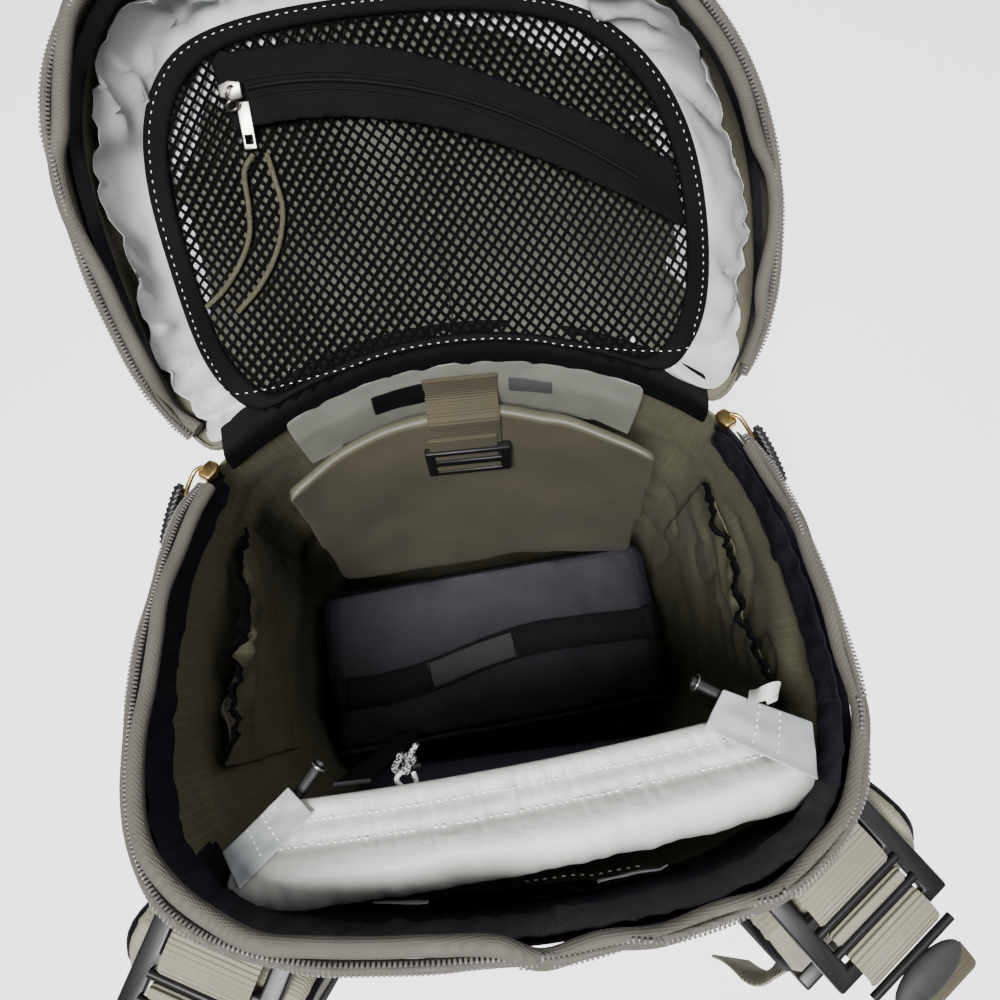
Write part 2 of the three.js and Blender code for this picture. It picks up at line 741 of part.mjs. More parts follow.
// The net pocket's slider, its tab and the two cords that lie on the net below it
function makeNetPull(lift) {
  const s = bandMiddle(NET_SLIDER_X);
  const across = vec(1, 0, 0);
  const up = LID_OUT.clone().negate();
  const seat = onLid(NET_SLIDER_X, s, netDepth(NET_SLIDER_X, s) - lift);
  add("net_pocket_slider", placed(sliderBody(), across, LID_ALONG, up, seat), STEEL);
  const tabMiddle = s - SLIDER_WIDTH / 2 - SEAT - TAB_LENGTH / 2;
  const tabSeat = onLid(NET_SLIDER_X + 1, tabMiddle, netDepth(NET_SLIDER_X, tabMiddle) - lift);
  const slots = [[-TAB_LENGTH / 2 + 2 * TAB_WALL, -TAB_LENGTH / 2 + TAB_WIDTH]];
  const tab = slottedPlate(TAB_WIDTH, TAB_LENGTH, TAB_WALL, TAB_WALL, slots);
  add("net_pocket_tab", placed(tab, across, LID_ALONG, up, tabSeat), STEEL);
  const over = NET_WALL + CORD_R + 4 * SEAT;
  NET_CORDS.forEach((route, i) => {
    const points = route.map(([x, along]) => onLid(x, along, netDepth(x, along) - over));
    const cord = tube(new THREE.CatmullRomCurve3(points), CORD_R, CORD_SIDES, CORD_STEPS);
    add(`net_pocket_cord_${i + 1}`, cord, KHAKI_WEBBING);
  });
}

// The light strip under the front edge, which leans in to meet the divider
const collarInset = (v) => COLLAR_INSET + v * COLLAR_LEAN;
const collarFace = (share, v, out) =>
  frontWall(share, COLLAR_DROP + v * COLLAR_HEIGHT, collarInset(v) + COLLAR_WALL + out);

function makeCollar() {
  const collar = (out) =>
    grid(2, FRONT_STEPS, (u, v) => collarFace(mix(0.12, 0.88, u), v, out));
  add("front_collar", sheet(collar(-COLLAR_WALL), collar(0)), GREY_LINING);
}

// The padded divider, whose top edge lies against the foot of the collar in the middle
const DIVIDER_TOP = collarFace(0.5, 1, SEAT);
const dividerTopZ = DIVIDER_TOP.z + 2;

function dividerPoint(u, v, out) {
  const half = mix(DIVIDER_HALF, DIVIDER_FOOT_HALF, v);
  const x = mix(-half, half, u);
  const sag = mix(DIVIDER_SAG, DIVIDER_FOOT_SAG, v) * (x / half) ** 2;
  return vec(x, mix(DIVIDER_TOP.y, DIVIDER_FOOT_Y, v) - sag - out, mix(dividerTopZ, DIVIDER_FOOT_Z, v));
}

function makeDivider() {
  const face = (out) => grid(4, 12, (u, v) => dividerPoint(u, v, out));
  add("front_divider", sheet(face(0), face(DIVIDER_WALL)), TAN_FABRIC);
}

// The hanger web comes down the collar, over the divider's edge and down its face to a ladder buckle
function makeHanger() {
  const edge = HANGER_WIDTH / 2 + Math.abs(HANGER_X);
  const collarSag = hingeRise(0) - hingeRise(edge);
  const top = collarFace(0.5, 0.1, 2 * SEAT + collarSag);
  const fold = collarFace(0.5, 0.85, 2 * SEAT + collarSag);
  const face = (v) => {
    const sag = mix(DIVIDER_SAG, DIVIDER_FOOT_SAG, v) * (edge / DIVIDER_HALF) ** 2;
    const p = dividerPoint(0.5, v, DIVIDER_WALL + SEAT + sag);
    return vec(HANGER_X, p.y, p.z);
  };
  const over = vec(HANGER_X, DIVIDER_TOP.y - 2 * WEB_WALL, dividerTopZ + SEAT);
  const end = HANGER_DROP / (dividerTopZ - DIVIDER_FOOT_Z);
  const route = [
    vec(HANGER_X, top.y, top.z),
    vec(HANGER_X, fold.y, fold.z),
    over,
    vec(HANGER_X, face(0).y - SEAT, dividerTopZ + SEAT),
    face(0.03),
    face(end),
  ];
  const across = vec(1, 0, 0);
  add("hanger_web", strip(route, across, HANGER_WIDTH, WEB_WALL), KHAKI_WEBBING);
  const down = face(end).sub(face(0.03)).normalize();
  const out = vec(0, 0, 0).crossVectors(across, down).normalize();
  const seat = face(end * 0.72).addScaledVector(out, -WEB_WALL - SEAT - BUCKLE_WALL);
  const middle = BUCKLE_BAR * 0.5;
  const slots = [[-BUCKLE_LENGTH * 0.22, -middle], [middle, BUCKLE_LENGTH * 0.22]];
  const width = HANGER_WIDTH + 2 * BUCKLE_BAR;
  const plate = slottedPlate(width, BUCKLE_LENGTH * 0.6, BUCKLE_WALL, BUCKLE_BAR, slots);
  add("hanger_buckle", placed(plate, across, down, out, seat), BLACK_PLASTIC);
}

// A flat pocket on each side wall, with an elastic edge
function makeSidePockets() {
  for (const side of ["right", "left"]) {
    const share = (u) => {
      const place = mix(POCKET_FIRST, POCKET_LAST, u);
      return side === "right" ? place : 1 - place;
    };
    const gape = (u, v) => POCKET_GAPE * Math.sin(Math.PI * u) * (1 - v) ** 2;
    const near = SHELL_WALL + SEAT;
    const cloth = (inset) =>
      grid(4, 10, (u, v) =>
        backWall(share(u), POCKET_DROP + ELASTIC_HEIGHT + SEAT + v * POCKET_HEIGHT, near + gape(u, v) + inset),
      );
    add(`side_pocket_${side}`, sheet(cloth(0), cloth(POCKET_WALL)), OLIVE_LINING);
    const edge = (inset) =>
      grid(1, 10, (u, v) =>
        backWall(share(u), POCKET_DROP + v * ELASTIC_HEIGHT, near + gape(u, 0) + inset),
      );
    add(`side_pocket_elastic_${side}`, sheet(edge(0), edge(ELASTIC_WALL)), BLACK_FABRIC);
  }
}

// A point turned round a vertical line through (x0, y0)
function turnedPoint(x, y, z, angle, x0, y0) {
  const p = new THREE.Vector2(x, y).rotateAround(new THREE.Vector2(), angle);
  return vec(p.x + x0, p.y + y0, z);
}

const INSERT_FOOT = FLOOR_WALL + SEAT;
const insertAt = (x, y, z) => turnedPoint(x, y, INSERT_FOOT + z, INSERT_TURN, INSERT_X, INSERT_Y);
const insertCrown = (x) => INSERT_CROWN * Math.max(0, 1 - (2 * x / INSERT_WIDTH) ** 2);
const insertTop = (x, lift) => INSERT_HEIGHT + insertCrown(x) + lift;

// The insert's section across x and z, with rounded corners and a crowned top
function insertRing(y, inset, bulge) {
  const radius = INSERT_CORNER_R - inset * 0.6;
  const w = INSERT_WIDTH / 2 - inset + bulge - radius;
  const h = INSERT_HEIGHT / 2 - inset - radius;
  const points = [];
  for (const [cx, cz, start] of [[w, h, 0], [-w, h, 1], [-w, -h, 2], [w, -h, 3]]) {
    for (const s of steps(3)) {
      const angle = ((start + s) * Math.PI) / 2;
      points.push([cx + radius * Math.cos(angle), cz + radius * Math.sin(angle)]);
    }
    const crossing = { 0: [0.5, 0, -0.5], 2: [0] }[start] ?? [];
    crossing.forEach((share) => points.push([w * share, cz + Math.sign(cz) * radius]));
  }
  return points.map(([x, z]) => {
    const top = z > 0 ? insertCrown(x) : 0;
    return insertAt(x, y, INSERT_HEIGHT / 2 + z + top);
  });
}

// A place along the insert's strap, which bows up from the crown and sways across it
const strapSway = (u) => INSERT_STRAP_SWAY * (Math.sin(Math.PI * (1.1 * u - 0.13)) - 0.8);
function strapSpot(u, lift) {
  const end = INSERT_WIDTH / 2 - INSERT_STRAP_MARGIN;
  const x = mix(-end, end, u);
  const rise = INSERT_STRAP_RISE * Math.sin(Math.PI * u) ** 0.7;
  return insertAt(x, strapSway(u), insertTop(x, 2 * SEAT + rise + lift));
}

// The camera insert: a padded box open at the back, its padded door and its carrying strap
function makeInsert() {
  const half = INSERT_DEPTH / 2;
  const door = -half + INSERT_WALL + SEAT;
  add(
    "insert_case",
    loft([
      insertRing(half - INSERT_WALL, INSERT_WALL, 0),
      insertRing(door, INSERT_WALL, 0),
      insertRing(door, 0, 0),
      insertRing(0, 0, 2),
      insertRing(half - 5, 0, 0),
      insertRing(half, 5, 0),
    ]),
    BLACK_FABRIC,
  );
  add(
    "insert_door",
    loft([insertRing(-half, 4, 0), insertRing(-half + 4, 0, 0), insertRing(door - SEAT, 0, 0)]),
    BLACK_FABRIC,
  );
  const across = insertAt(0, 1, 0).sub(insertAt(0, 0, 0));
  const route = steps(10).map((u) => strapSpot(u, 0));
  add("insert_strap", strip(route, across, INSERT_STRAP_WIDTH, WEB_WALL), BLACK_FABRIC);
}

// The bare patch on the insert's strap, and a folded tab at each end of the strap
function makeInsertTrim() {
  const across = insertAt(0, 1, 0).sub(insertAt(0, 0, 0));
  const patchLift = WEB_WALL + SEAT;
  const patch = steps(4).map((u) => strapSpot(mix(PATCH_FIRST, PATCH_LAST, u), patchLift));
  add("insert_patch", strip(patch, across, PATCH_WIDTH, PATCH_WALL), BLACK_FABRIC);
  for (const [side, sign] of [["right", 1], ["left", -1]]) {
    const inner = INSERT_WIDTH / 2 - INSERT_STRAP_MARGIN + 2 * SEAT;
    const y = strapSway(sign > 0 ? 1 : 0);
    const route = [inner, inner + TRIM_END, INSERT_WIDTH / 2 - 1].map((x) =>
      insertAt(sign * x, y, insertTop(INSERT_WIDTH / 2, 2 * SEAT + TRIM_LIFT)),
    );
    const lift = across.clone().multiplyScalar(sign);
    add(`insert_tab_${side}`, strip(route, lift, INSERT_STRAP_WIDTH, 2 * WEB_WALL), BLACK_FABRIC);
  }
}

// The sleeve's top: a padded roll at the back wall and a flat strip towards the middle of the bag
const sleeveAt = (x, y, z) => turnedPoint(x, y - SLEEVE_BACK_Y, z, SLEEVE_TURN, SLEEVE_X, SLEEVE_BACK_Y);
const STRIP_START = SLEEVE_BACK_Y + 2 * ROLL_R;
const sleeveTurnedHalf = (share) => SLEEVE_HALF * (1 - 0.08 * share);

function sleeveSection(share, full) {
  const roll = steps(7).map((s) => {
    const angle = -Math.PI * mix(0.22, 1.78, s);
    return [0, SLEEVE_BACK_Y + ROLL_R + ROLL_R * Math.cos(angle), SLEEVE_Z + ROLL_R * full * Math.sin(angle)];
  });
  const flat = (along, lift) => [
    along, mix(STRIP_START, SLEEVE_FRONT_Y, along), SLEEVE_Z - SLEEVE_DROP * along + lift,
  ];
  const top = [0.15, 0.6, 1].map((along) => flat(along, STRIP_WALL / 2));
  const under = [1, 0.6, 0.15].map((along) => flat(along, -STRIP_WALL / 2));
  return [...roll, ...top, ...under].map(([along, y, z]) =>
    sleeveAt(share * sleeveTurnedHalf(along), y, z),
  );
}

function makeSleeve() {
  const places = [-1, -0.94, -0.75, -0.4, 0, 0.4, 0.75, 0.94, 1];
  const full = (share) => 0.45 + 0.55 * smooth((1 - Math.abs(share)) / 0.25);
  add("sleeve_top", loft(places.map((share) => sleeveSection(share, full(share)))), WHITE_NYLON);

  const topZ = SLEEVE_Z - SLEEVE_DROP - STRIP_WALL / 2 - SEAT;
  const panelTopZ = topZ + (SLEEVE_DROP * STRIP_WALL) / (SLEEVE_FRONT_Y - STRIP_START);
  const profile = [
    { y: SLEEVE_FRONT_Y - STRIP_WALL, z: panelTopZ, half: PANEL_HALF, turn: 1 },
    { y: PANEL_KNEE_Y, z: PANEL_KNEE_Z, half: PANEL_FOOT_HALF, turn: 0.3 },
    { y: PANEL_FOOT_Y, z: FLOOR_WALL + SEAT, half: PANEL_FOOT_HALF, turn: 0 },
  ];
  const panel = (out) =>
    profile.map(({ y, z, half, turn }) =>
      steps(6).map((u) =>
        turnedPoint(
          mix(-half, half, u), y - out - SLEEVE_BACK_Y, z, SLEEVE_TURN * turn, SLEEVE_X * turn, SLEEVE_BACK_Y,
        ),
      ),
    );
  add("sleeve_panel", sheet(panel(0), panel(STRIP_WALL)), NAVY_TAPE);

  for (const [side, sign] of [["right", 1], ["left", -1]]) {
    const rodZ = topZ - ROD_R;
    const foot = sleeveAt(sign * (ROD_X + ROD_SPLAY), SLEEVE_FRONT_Y - ROD_SET_BACK, rodZ);
    const tipY = SLEEVE_FRONT_Y - ROD_SET_BACK + ROD_LENGTH;
    const tip = sleeveAt(sign * (ROD_X - ROD_SPLAY), tipY, rodZ);
    const along = tip.clone().sub(foot).normalize();
    const rod = tube(new THREE.LineCurve3(foot, tip), ROD_R, 10, 1);
    add(`stay_rod_${side}`, rod, BLACK_PLASTIC);
    const ring = new THREE.TorusGeometry(ROD_R + SEAT + RING_WIRE, RING_WIRE, 6, 14);
    const across = vec(0, 0, 1).cross(along).normalize();
    const seat = tip.clone().addScaledVector(along, -3 * RING_WIRE);
    add(
      `stay_ring_${side}`,
      placed(ring, across, along.clone().cross(across), along, seat),
      STEEL,
    );
    const tab = (lift) =>
      grid(2, 2, (u, v) => {
        const along = mix(SLEEVE_TAB_FIRST, SLEEVE_TAB_LAST, v);
        const reach = sleeveTurnedHalf(along) + 2 * SEAT + u * SLEEVE_TAB_REACH;
        const y = mix(STRIP_START, SLEEVE_FRONT_Y, along);
        return sleeveAt(sign * reach, y, SLEEVE_Z - SLEEVE_DROP * along + lift);
      });
    add(`sleeve_tab_${side}`, sheet(tab(-1), tab(1)), GREY_LINING);
  }
}

// The padded back panel, and a wing of the hip belt on each side
function makeBackPanel() {
  const pad = (out) =>
    grid(8, 10, (u, v) => {
      const edge = Math.min(1, 3 * Math.min(u, 1 - u), 6 * Math.min(v, 1 - v));
      const share = mix(0.5 - BACK_PAD_SHARE, 0.5 + BACK_PAD_SHARE, u);
      const z = mix(BACK_PAD_TOP, BACK_PAD_FOOT, v);
      return backWallAt(share, z, -SEAT - out * mix(0.4, 1, edge));
    });
  add("back_panel", sheet(pad(0), pad(BACK_PAD_WALL)), BLACK_FABRIC);
  for (const side of ["right", "left"]) {
    const share = (u) => {
      const place = mix(BELT_FIRST, BELT_LAST, u);
      return side === "right" ? place : 1 - place;
    };
    const wing = (out) =>
      grid(3, 9, (u, v) => {
        const taper = mix(0.5, 1, smooth(u / 0.5));
        const z = BELT_FOOT + BELT_HEIGHT * (0.5 + (0.5 - v) * taper);
        return backWallAt(share(u), z, -SEAT - out);
      });
    add(`hip_belt_${side}`, sheet(wing(0), wing(BELT_WALL)), BLACK_FABRIC);
  }
}

// A shoulder strap, its load lifter and its lower web, all set out from one place on the wall
function makeStrap(side, share) {
  const wall = (z) => backWallAt(share, Math.min(z, backWall(share, 0, 0).z - SEAT), 0);
  const out = wall(STRAP_TOP).sub(backWallAt(share, STRAP_TOP, 1)).setZ(0).normalize();
  const up = vec(0, 0, 1);
  const across = out.clone().cross(up);
  const spot = (reach, z) => wall(z).addScaledVector(out, reach).setZ(z);
  const reachOf = (row) => 2 * SEAT + row.out * STRAP_REACH;
  const line = new THREE.CatmullRomCurve3(
    STRAP_LINE.map((row) => spot(reachOf(row), row.up * STRAP_TOP)),
  );
  const route = line.getSpacedPoints(22);
  add(
    `shoulder_strap_${side}`,
    strip(route, across, STRAP_WIDTH, STRAP_WALL, PAD_SECTION),
    KHAKI_WEBBING,
  );

  const crestReach = reachOf(STRAP_LINE.find((row) => row.up === 1));
  const crest = spot(crestReach, STRAP_TOP + SEAT);
  const bar = BUCKLE_BAR * 0.5;
  const slots = [
    [-BUCKLE_LENGTH / 2 + BUCKLE_BAR, -bar],
    [bar, BUCKLE_LENGTH / 2 - BUCKLE_BAR],
  ];
  const frame = slottedPlate(BUCKLE_WIDTH, BUCKLE_LENGTH, BUCKLE_WALL, BUCKLE_BAR, slots);
  add(`lifter_buckle_${side}`, placed(frame, across, out, up, crest), BLACK_PLASTIC);

  const webZ = crest.z + BUCKLE_WALL + SEAT;
  const farReach = crestReach + BUCKLE_LENGTH / 2;
  const webRoute = [
    spot(3 * SEAT, webZ),
    spot(farReach, webZ),
    spot(farReach + LIFTER_OVERHANG, webZ - LIFTER_TAIL * 0.3),
    spot(farReach + LIFTER_OVERHANG * 1.3, webZ - LIFTER_TAIL),
  ];
  const facing = across.clone().negate();
  add(`lifter_web_${side}`, strip(webRoute, facing, LIFTER_WIDTH, WEB_WALL), KHAKI_WEBBING);

  const end = route[route.length - 1];
  const down = end.clone().sub(route[route.length - 2]).normalize();
  const middle = down.clone().cross(across).multiplyScalar(STRAP_WALL / 2);
  const start = end.clone().add(middle).addScaledVector(down, 2 * SEAT);
  const outLow = wall(STRAP_WEB_FOOT).sub(backWallAt(share, STRAP_WEB_FOOT, 1)).setZ(0).normalize();
  const low = (z) => wall(z).addScaledVector(outLow, 3 * SEAT);
  const lowerRoute = [
    start,
    start.clone().addScaledVector(down, 3 * STRAP_WALL),
    low(STRAP_WEB_FOOT + STRAP_WEB_WIDTH),
    low(STRAP_WEB_FOOT),
  ];
  const facingLow = up.clone().cross(outLow);
  const sides = [facing, facing, facingLow, facingLow];
  add(`strap_web_${side}`, strip(lowerRoute, sides, STRAP_WEB_WIDTH, WEB_WALL), KHAKI_WEBBING);
  return { line, across };
}

// The chest strap's webbing and clip, which hang from the inner edge of the right shoulder strap
function makeChestStrap({ line, across }) {
  const share = 0.36;
  const along = line.getTangentAt(share);
  const out = across.clone().cross(along);
  const spot = (over, lift, drop) =>
    line.getPointAt(share)
      .addScaledVector(across, over)
      .addScaledVector(out, lift)
      .add(vec(0, 0, -drop));
  const edge = STRAP_WIDTH / 2;
  const route = [
    spot(0, SEAT, 0),
    spot(edge, SEAT, 0),
    spot(edge + CHEST_WEB_WIDTH * 0.5, SEAT, CHEST_WEB_WIDTH * 0.4),
    spot(edge + CHEST_WEB_WIDTH * 0.8, SEAT, CHEST_WEB_DROP),
  ];
  add("chest_web", strip(route, along, CHEST_WEB_WIDTH, WEB_WALL), KHAKI_WEBBING);
  const length = CHEST_CLIP_WIDTH * 0.8;
  const slots = [[-length / 2 + WEB_WALL * 2, length / 2 - WEB_WALL * 2]];
  const clip = slottedPlate(CHEST_CLIP_WIDTH, length, CHEST_CLIP_WALL, BUCKLE_BAR, slots);
  const seat = spot(edge - length / 2, WEB_WALL + 2 * SEAT, 0);
  add("chest_clip", placed(clip, along, across, out, seat), BLACK_PLASTIC);
}

// A zip slider's body, its length along X and its height along Z
function sliderBody() {
  const outline = [[-0.5, 0.3], [0, 0.5], [0.5, 0.38]];
  const points = [...outline, ...outline.slice().reverse().map(([x, y]) => [x, -y])];
  const shape = new THREE.Shape(
    points.map(([x, y]) => new THREE.Vector2(x * SLIDER_LENGTH, y * SLIDER_WIDTH)),
  );
  return new THREE.ExtrudeGeometry(shape, { depth: SLIDER_HEIGHT, bevelEnabled: false });
}

// The main zip's sliders at the two ends of the mouth, with a rubber grip outside the wall
function makeMainSliders() {
  const seat = ZIP_START * 0.52;
  for (const side of ["right", "left"]) {
    const at = (share, drop, inset) => backWall(side === "right" ? share : 1 - share, drop, inset);
    const along = at(2 * seat, -SEAT, 0).sub(at(0, -SEAT, 0)).normalize();
    const inward = at(seat, 0, 1).sub(at(seat, 0, 0)).normalize();
    const up = along.clone().cross(inward).normalize();
    if (up.z < 0) up.negate();
    const across = up.clone().cross(along);
    const middle = at(seat, -2 * SEAT, SHELL_WALL / 2);
    add(`main_slider_${side}`, placed(sliderBody(), along, across, up, middle), BRASS);
    const route = steps(4).map((u) => at(mix(seat * 2.4, seat * 6, u), mix(5, 16, u), -2 * SEAT));
    const lift = up.clone().multiplyScalar(side === "right" ? -1 : 1);
    const grip = strip(route, lift, GRIP_WIDTH, GRIP_WALL, PAD_SECTION);
    add(`main_grip_${side}`, grip, BLACK_PLASTIC);
  }
}

makeBag();
makeBagMouth();
makeLid();
makeNetPocket();
makeCollar();
makeDivider();
makeHanger();
makeSidePockets();
makeInsert();
makeInsertTrim();
makeSleeve();
makeBackPanel();
makeChestStrap(makeStrap("right", STRAP_RIGHT_SHARE));
makeStrap("left", STRAP_LEFT_SHARE);
makeMainSliders();

export default part;
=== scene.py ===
import json
import math

import bpy
import numpy as np
from mathutils import Matrix, Vector, noise
from mathutils.bvhtree import BVHTree

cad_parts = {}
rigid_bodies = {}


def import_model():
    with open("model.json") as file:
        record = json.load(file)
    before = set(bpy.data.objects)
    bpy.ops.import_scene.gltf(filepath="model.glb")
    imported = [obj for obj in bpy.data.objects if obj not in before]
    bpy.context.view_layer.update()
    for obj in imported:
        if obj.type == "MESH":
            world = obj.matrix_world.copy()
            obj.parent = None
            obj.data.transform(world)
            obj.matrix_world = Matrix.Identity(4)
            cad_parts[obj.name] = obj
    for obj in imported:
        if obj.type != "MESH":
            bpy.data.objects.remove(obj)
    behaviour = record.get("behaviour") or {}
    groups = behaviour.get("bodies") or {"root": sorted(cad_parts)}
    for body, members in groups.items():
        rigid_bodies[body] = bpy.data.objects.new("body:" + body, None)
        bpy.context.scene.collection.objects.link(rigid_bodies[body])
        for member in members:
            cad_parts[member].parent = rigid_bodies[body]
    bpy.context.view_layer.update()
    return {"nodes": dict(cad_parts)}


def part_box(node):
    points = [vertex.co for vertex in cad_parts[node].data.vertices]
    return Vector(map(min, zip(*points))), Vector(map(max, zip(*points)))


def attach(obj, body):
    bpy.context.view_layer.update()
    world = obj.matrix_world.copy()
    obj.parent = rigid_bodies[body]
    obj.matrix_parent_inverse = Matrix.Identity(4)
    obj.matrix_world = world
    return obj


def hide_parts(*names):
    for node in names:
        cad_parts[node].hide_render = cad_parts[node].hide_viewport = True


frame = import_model()

# Camera, light and floor
# The pack stands on a pale floor, and the camera looks almost straight down into its open mouth.
# A soft lamp hangs above and behind the camera, a weaker one opposite, under a pale sky.
bpy.ops.object.select_all(action="DESELECT")
CAMERA_PLACE = (0.0070, -0.0287, 0.8248)
camera_back = Vector((-0.014, -0.220, 0.975)).normalized()
camera_right = Vector((0.101, 0.970, 0.220)).cross(camera_back).normalized()
camera_up = camera_back.cross(camera_right)
camera_turn = Matrix((camera_right, camera_up, camera_back)).transposed().to_4x4()
bpy.ops.object.camera_add()
camera = bpy.context.object
camera.name = "photo_camera"
camera.data.sensor_width = 36
camera.data.lens = 27.63
camera.data.clip_start = 0.01
camera.matrix_world = Matrix.Translation(CAMERA_PLACE) @ camera_turn
bpy.context.scene.camera = camera

world = bpy.data.worlds.new("pale_sky")
world.use_nodes = True
sky = world.node_tree.nodes["Background"]
sky.inputs["Color"].default_value = (0.95, 0.97, 1, 1)
sky.inputs["Strength"].default_value = 0.27
bpy.context.scene.world = world
for name, place, aim, size, energy in (
    ("key_lamp", (-0.20, -0.40, 1.75), (0, 0, 0.3), 0.45, 46),
    ("fill_lamp", (0.9, 0.5, 1.7), (0, 0.05, 0.45), 1.0, 7),
):
    bpy.ops.object.light_add(type="AREA", location=place)
    lamp = bpy.context.object
    lamp.name = name
    lamp.data.size = size
    lamp.data.energy = energy
    lamp.rotation_euler = (Vector(aim) - Vector(place)).to_track_quat("-Z", "Y").to_euler()

# The floor glows a little of its own, so that it stays as white as in the photo
bpy.ops.mesh.primitive_plane_add(size=6)
floor = bpy.context.object
floor.name = "floor"
floor_paint = bpy.data.materials.new("floor_paint")
floor_paint.use_nodes = True
paint = floor_paint.node_tree.nodes["Principled BSDF"]
paint.inputs["Base Color"].default_value = (0.95, 0.95, 0.94, 1)
paint.inputs["Roughness"].default_value = 0.7
paint.inputs["Emission Color"].default_value = (1, 1, 1, 1)
paint.inputs["Emission Strength"].default_value = 1.5
floor.data.materials.append(floor_paint)


# Cords on the net pocket's tab
# Two ends of one thin olive cord, looped through the metal tab of the net pocket's slider. They lie
# slack on the net below it, each with a bare cut end.
def spline(route, count):
    """Points spaced evenly on a smooth curve through the route"""
    knots = [Vector(p) for p in route]
    knots = [2 * knots[0] - knots[1]] + knots + [2 * knots[-1] - knots[-2]]
    fine = []
    for a, b, c, d in zip(knots, knots[1:], knots[2:], knots[3:]):
        bend = 2 * a - 5 * b + 4 * c - d
        twist = 3 * b - a - 3 * c + d
        for i in range(12):
            t = i / 12
            fine.append(0.5 * (2 * b + (c - a) * t + bend * t * t + twist * t ** 3))
    fine.append(knots[-2])
    lengths = np.cumsum([0] + [(q - p).length for p, q in zip(fine, fine[1:])])
    wanted = np.linspace(0, lengths[-1], count)
    return [Vector([np.interp(w, lengths, [p[k] for p in fine]) for k in range(3)]) for w in wanted]


def length_of(points):
    return sum((q - p).length for p, q in zip(points, points[1:]))


def add_object(piece, data):
    """A new object in the scene"""
    obj = bpy.data.objects.new(piece, data)
    bpy.context.scene.collection.objects.link(obj)
    return obj


def round_curve(piece, points, radius, resolution, closed=False):
    """A round line through points, capped where it has ends"""
    curve = bpy.data.curves.new(piece, "CURVE")
    curve.dimensions = "3D"
    curve.bevel_depth = radius
    curve.bevel_resolution = resolution
    curve.use_fill_caps = not closed
    line = curve.splines.new("POLY")
    line.points.add(len(points) - 1)
    line.use_cyclic_u = closed
    for spot, point in zip(line.points, points):
        spot.co = (*point, 1)
    return add_object(piece, curve)


def shader_of(material):
    return material.node_tree.nodes["Principled BSDF"]


def new_material(name, roughness, metallic=0.0, specular=0.4, sheen=0.0):
    material = bpy.data.materials.new(name)
    material.use_nodes = True
    shader = shader_of(material)
    shader.inputs["Roughness"].default_value = roughness
    shader.inputs["Metallic"].default_value = metallic
    shader.inputs["Specular IOR Level"].default_value = specular
    shader.inputs["Sheen Weight"].default_value = sheen
    return material


def link(material, source, target):
    material.node_tree.links.new(source, target)


def node(material, kind, **values):
    """A shader node. A value's name is that of an input, n and the input's number, or set_ and a property"""
    made = material.node_tree.nodes.new("ShaderNode" + kind)
    for key, value in values.items():
        if key.startswith("set_"):
            setattr(made, key[4:], value)
            continue
        which = int(key[1:]) if key[0] == "n" and key[1:].isdigit() else key.replace("_", " ")
        made.inputs[which].default_value = value
    return made


def uneven_colour(material, colour, spread, scale):
    """The dye: the colour, darker and lighter in patches of 1/scale metres"""
    place = node(material, "TexCoord")
    patches = node(material, "TexNoise", Scale=scale, Detail=5.0, Roughness=0.6)
    link(material, place.outputs["Object"], patches.inputs["Vector"])
    ramp = node(material, "ValToRGB")
    ramp.color_ramp.elements[0].position = 0.3
    ramp.color_ramp.elements[1].position = 0.7
    ramp.color_ramp.elements[0].color = [c * (1 - spread) for c in colour] + [1]
    ramp.color_ramp.elements[1].color = [min(1, c * (1 + spread)) for c in colour] + [1]
    link(material, patches.outputs["Fac"], ramp.inputs["Fac"])
    link(material, ramp.outputs["Color"], shader_of(material).inputs["Base Color"])
    return ramp


CORD_COLOUR = (0.070, 0.065, 0.042)
cord_braid = new_material("cord_braid", 0.8, specular=0.2)
uneven_colour(cord_braid, CORD_COLOUR, 0.45, 900)
for number, route in (
    (1, [(-0.0866, 0.2199, 0.5100), (-0.0925, 0.2141, 0.5061), (-0.0934, 0.2012, 0.4983),
         (-0.0948, 0.1886, 0.4938), (-0.1005, 0.1764, 0.4904), (-0.1094, 0.1653, 0.4873),
         (-0.1197, 0.1579, 0.4840)]),
    (2, [(-0.0806, 0.2199, 0.5100), (-0.0788, 0.2098, 0.5035), (-0.0771, 0.1986, 0.4987),
         (-0.0795, 0.1853, 0.4951), (-0.0844, 0.1737, 0.4927), (-0.0923, 0.1620, 0.4904),
         (-0.1035, 0.1517, 0.4879)]),
):
    points = spline(route, 26)
    cord = round_curve(f"net_cord_{number}", points, 0.0013, 3)
    cord.data.materials.append(cord_braid)
    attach(cord, "root")
    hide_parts(f"net_pocket_cord_{number}")
    length_of(points)

# Bag shell
# The main tube of the pack: olive-grey nylon outside and thin olive ripstop inside, sewn along the
# two front corners and round the base with a narrow bound seam.
SHELL_COLOUR = (0.135, 0.125, 0.088)
RIPSTOP_COLOUR = (0.118, 0.112, 0.066)
SEAM_COLOUR = (0.035, 0.033, 0.027)
NAVY_COLOUR = (0.015, 0.0145, 0.021)


def only(obj):
    """Selects one object alone and makes it the active one"""
    if bpy.context.mode != "OBJECT":
        bpy.ops.object.mode_set(mode="OBJECT")
    bpy.ops.object.select_all(action="DESELECT")
    obj.select_set(True)
    bpy.context.view_layer.objects.active = obj


def slices(axis, places):
    """Planes square to the x, y or z axis, at each place along it"""
    unit = [int(name == axis) for name in "xyz"]
    return [([place * share for share in unit], unit) for place in places]


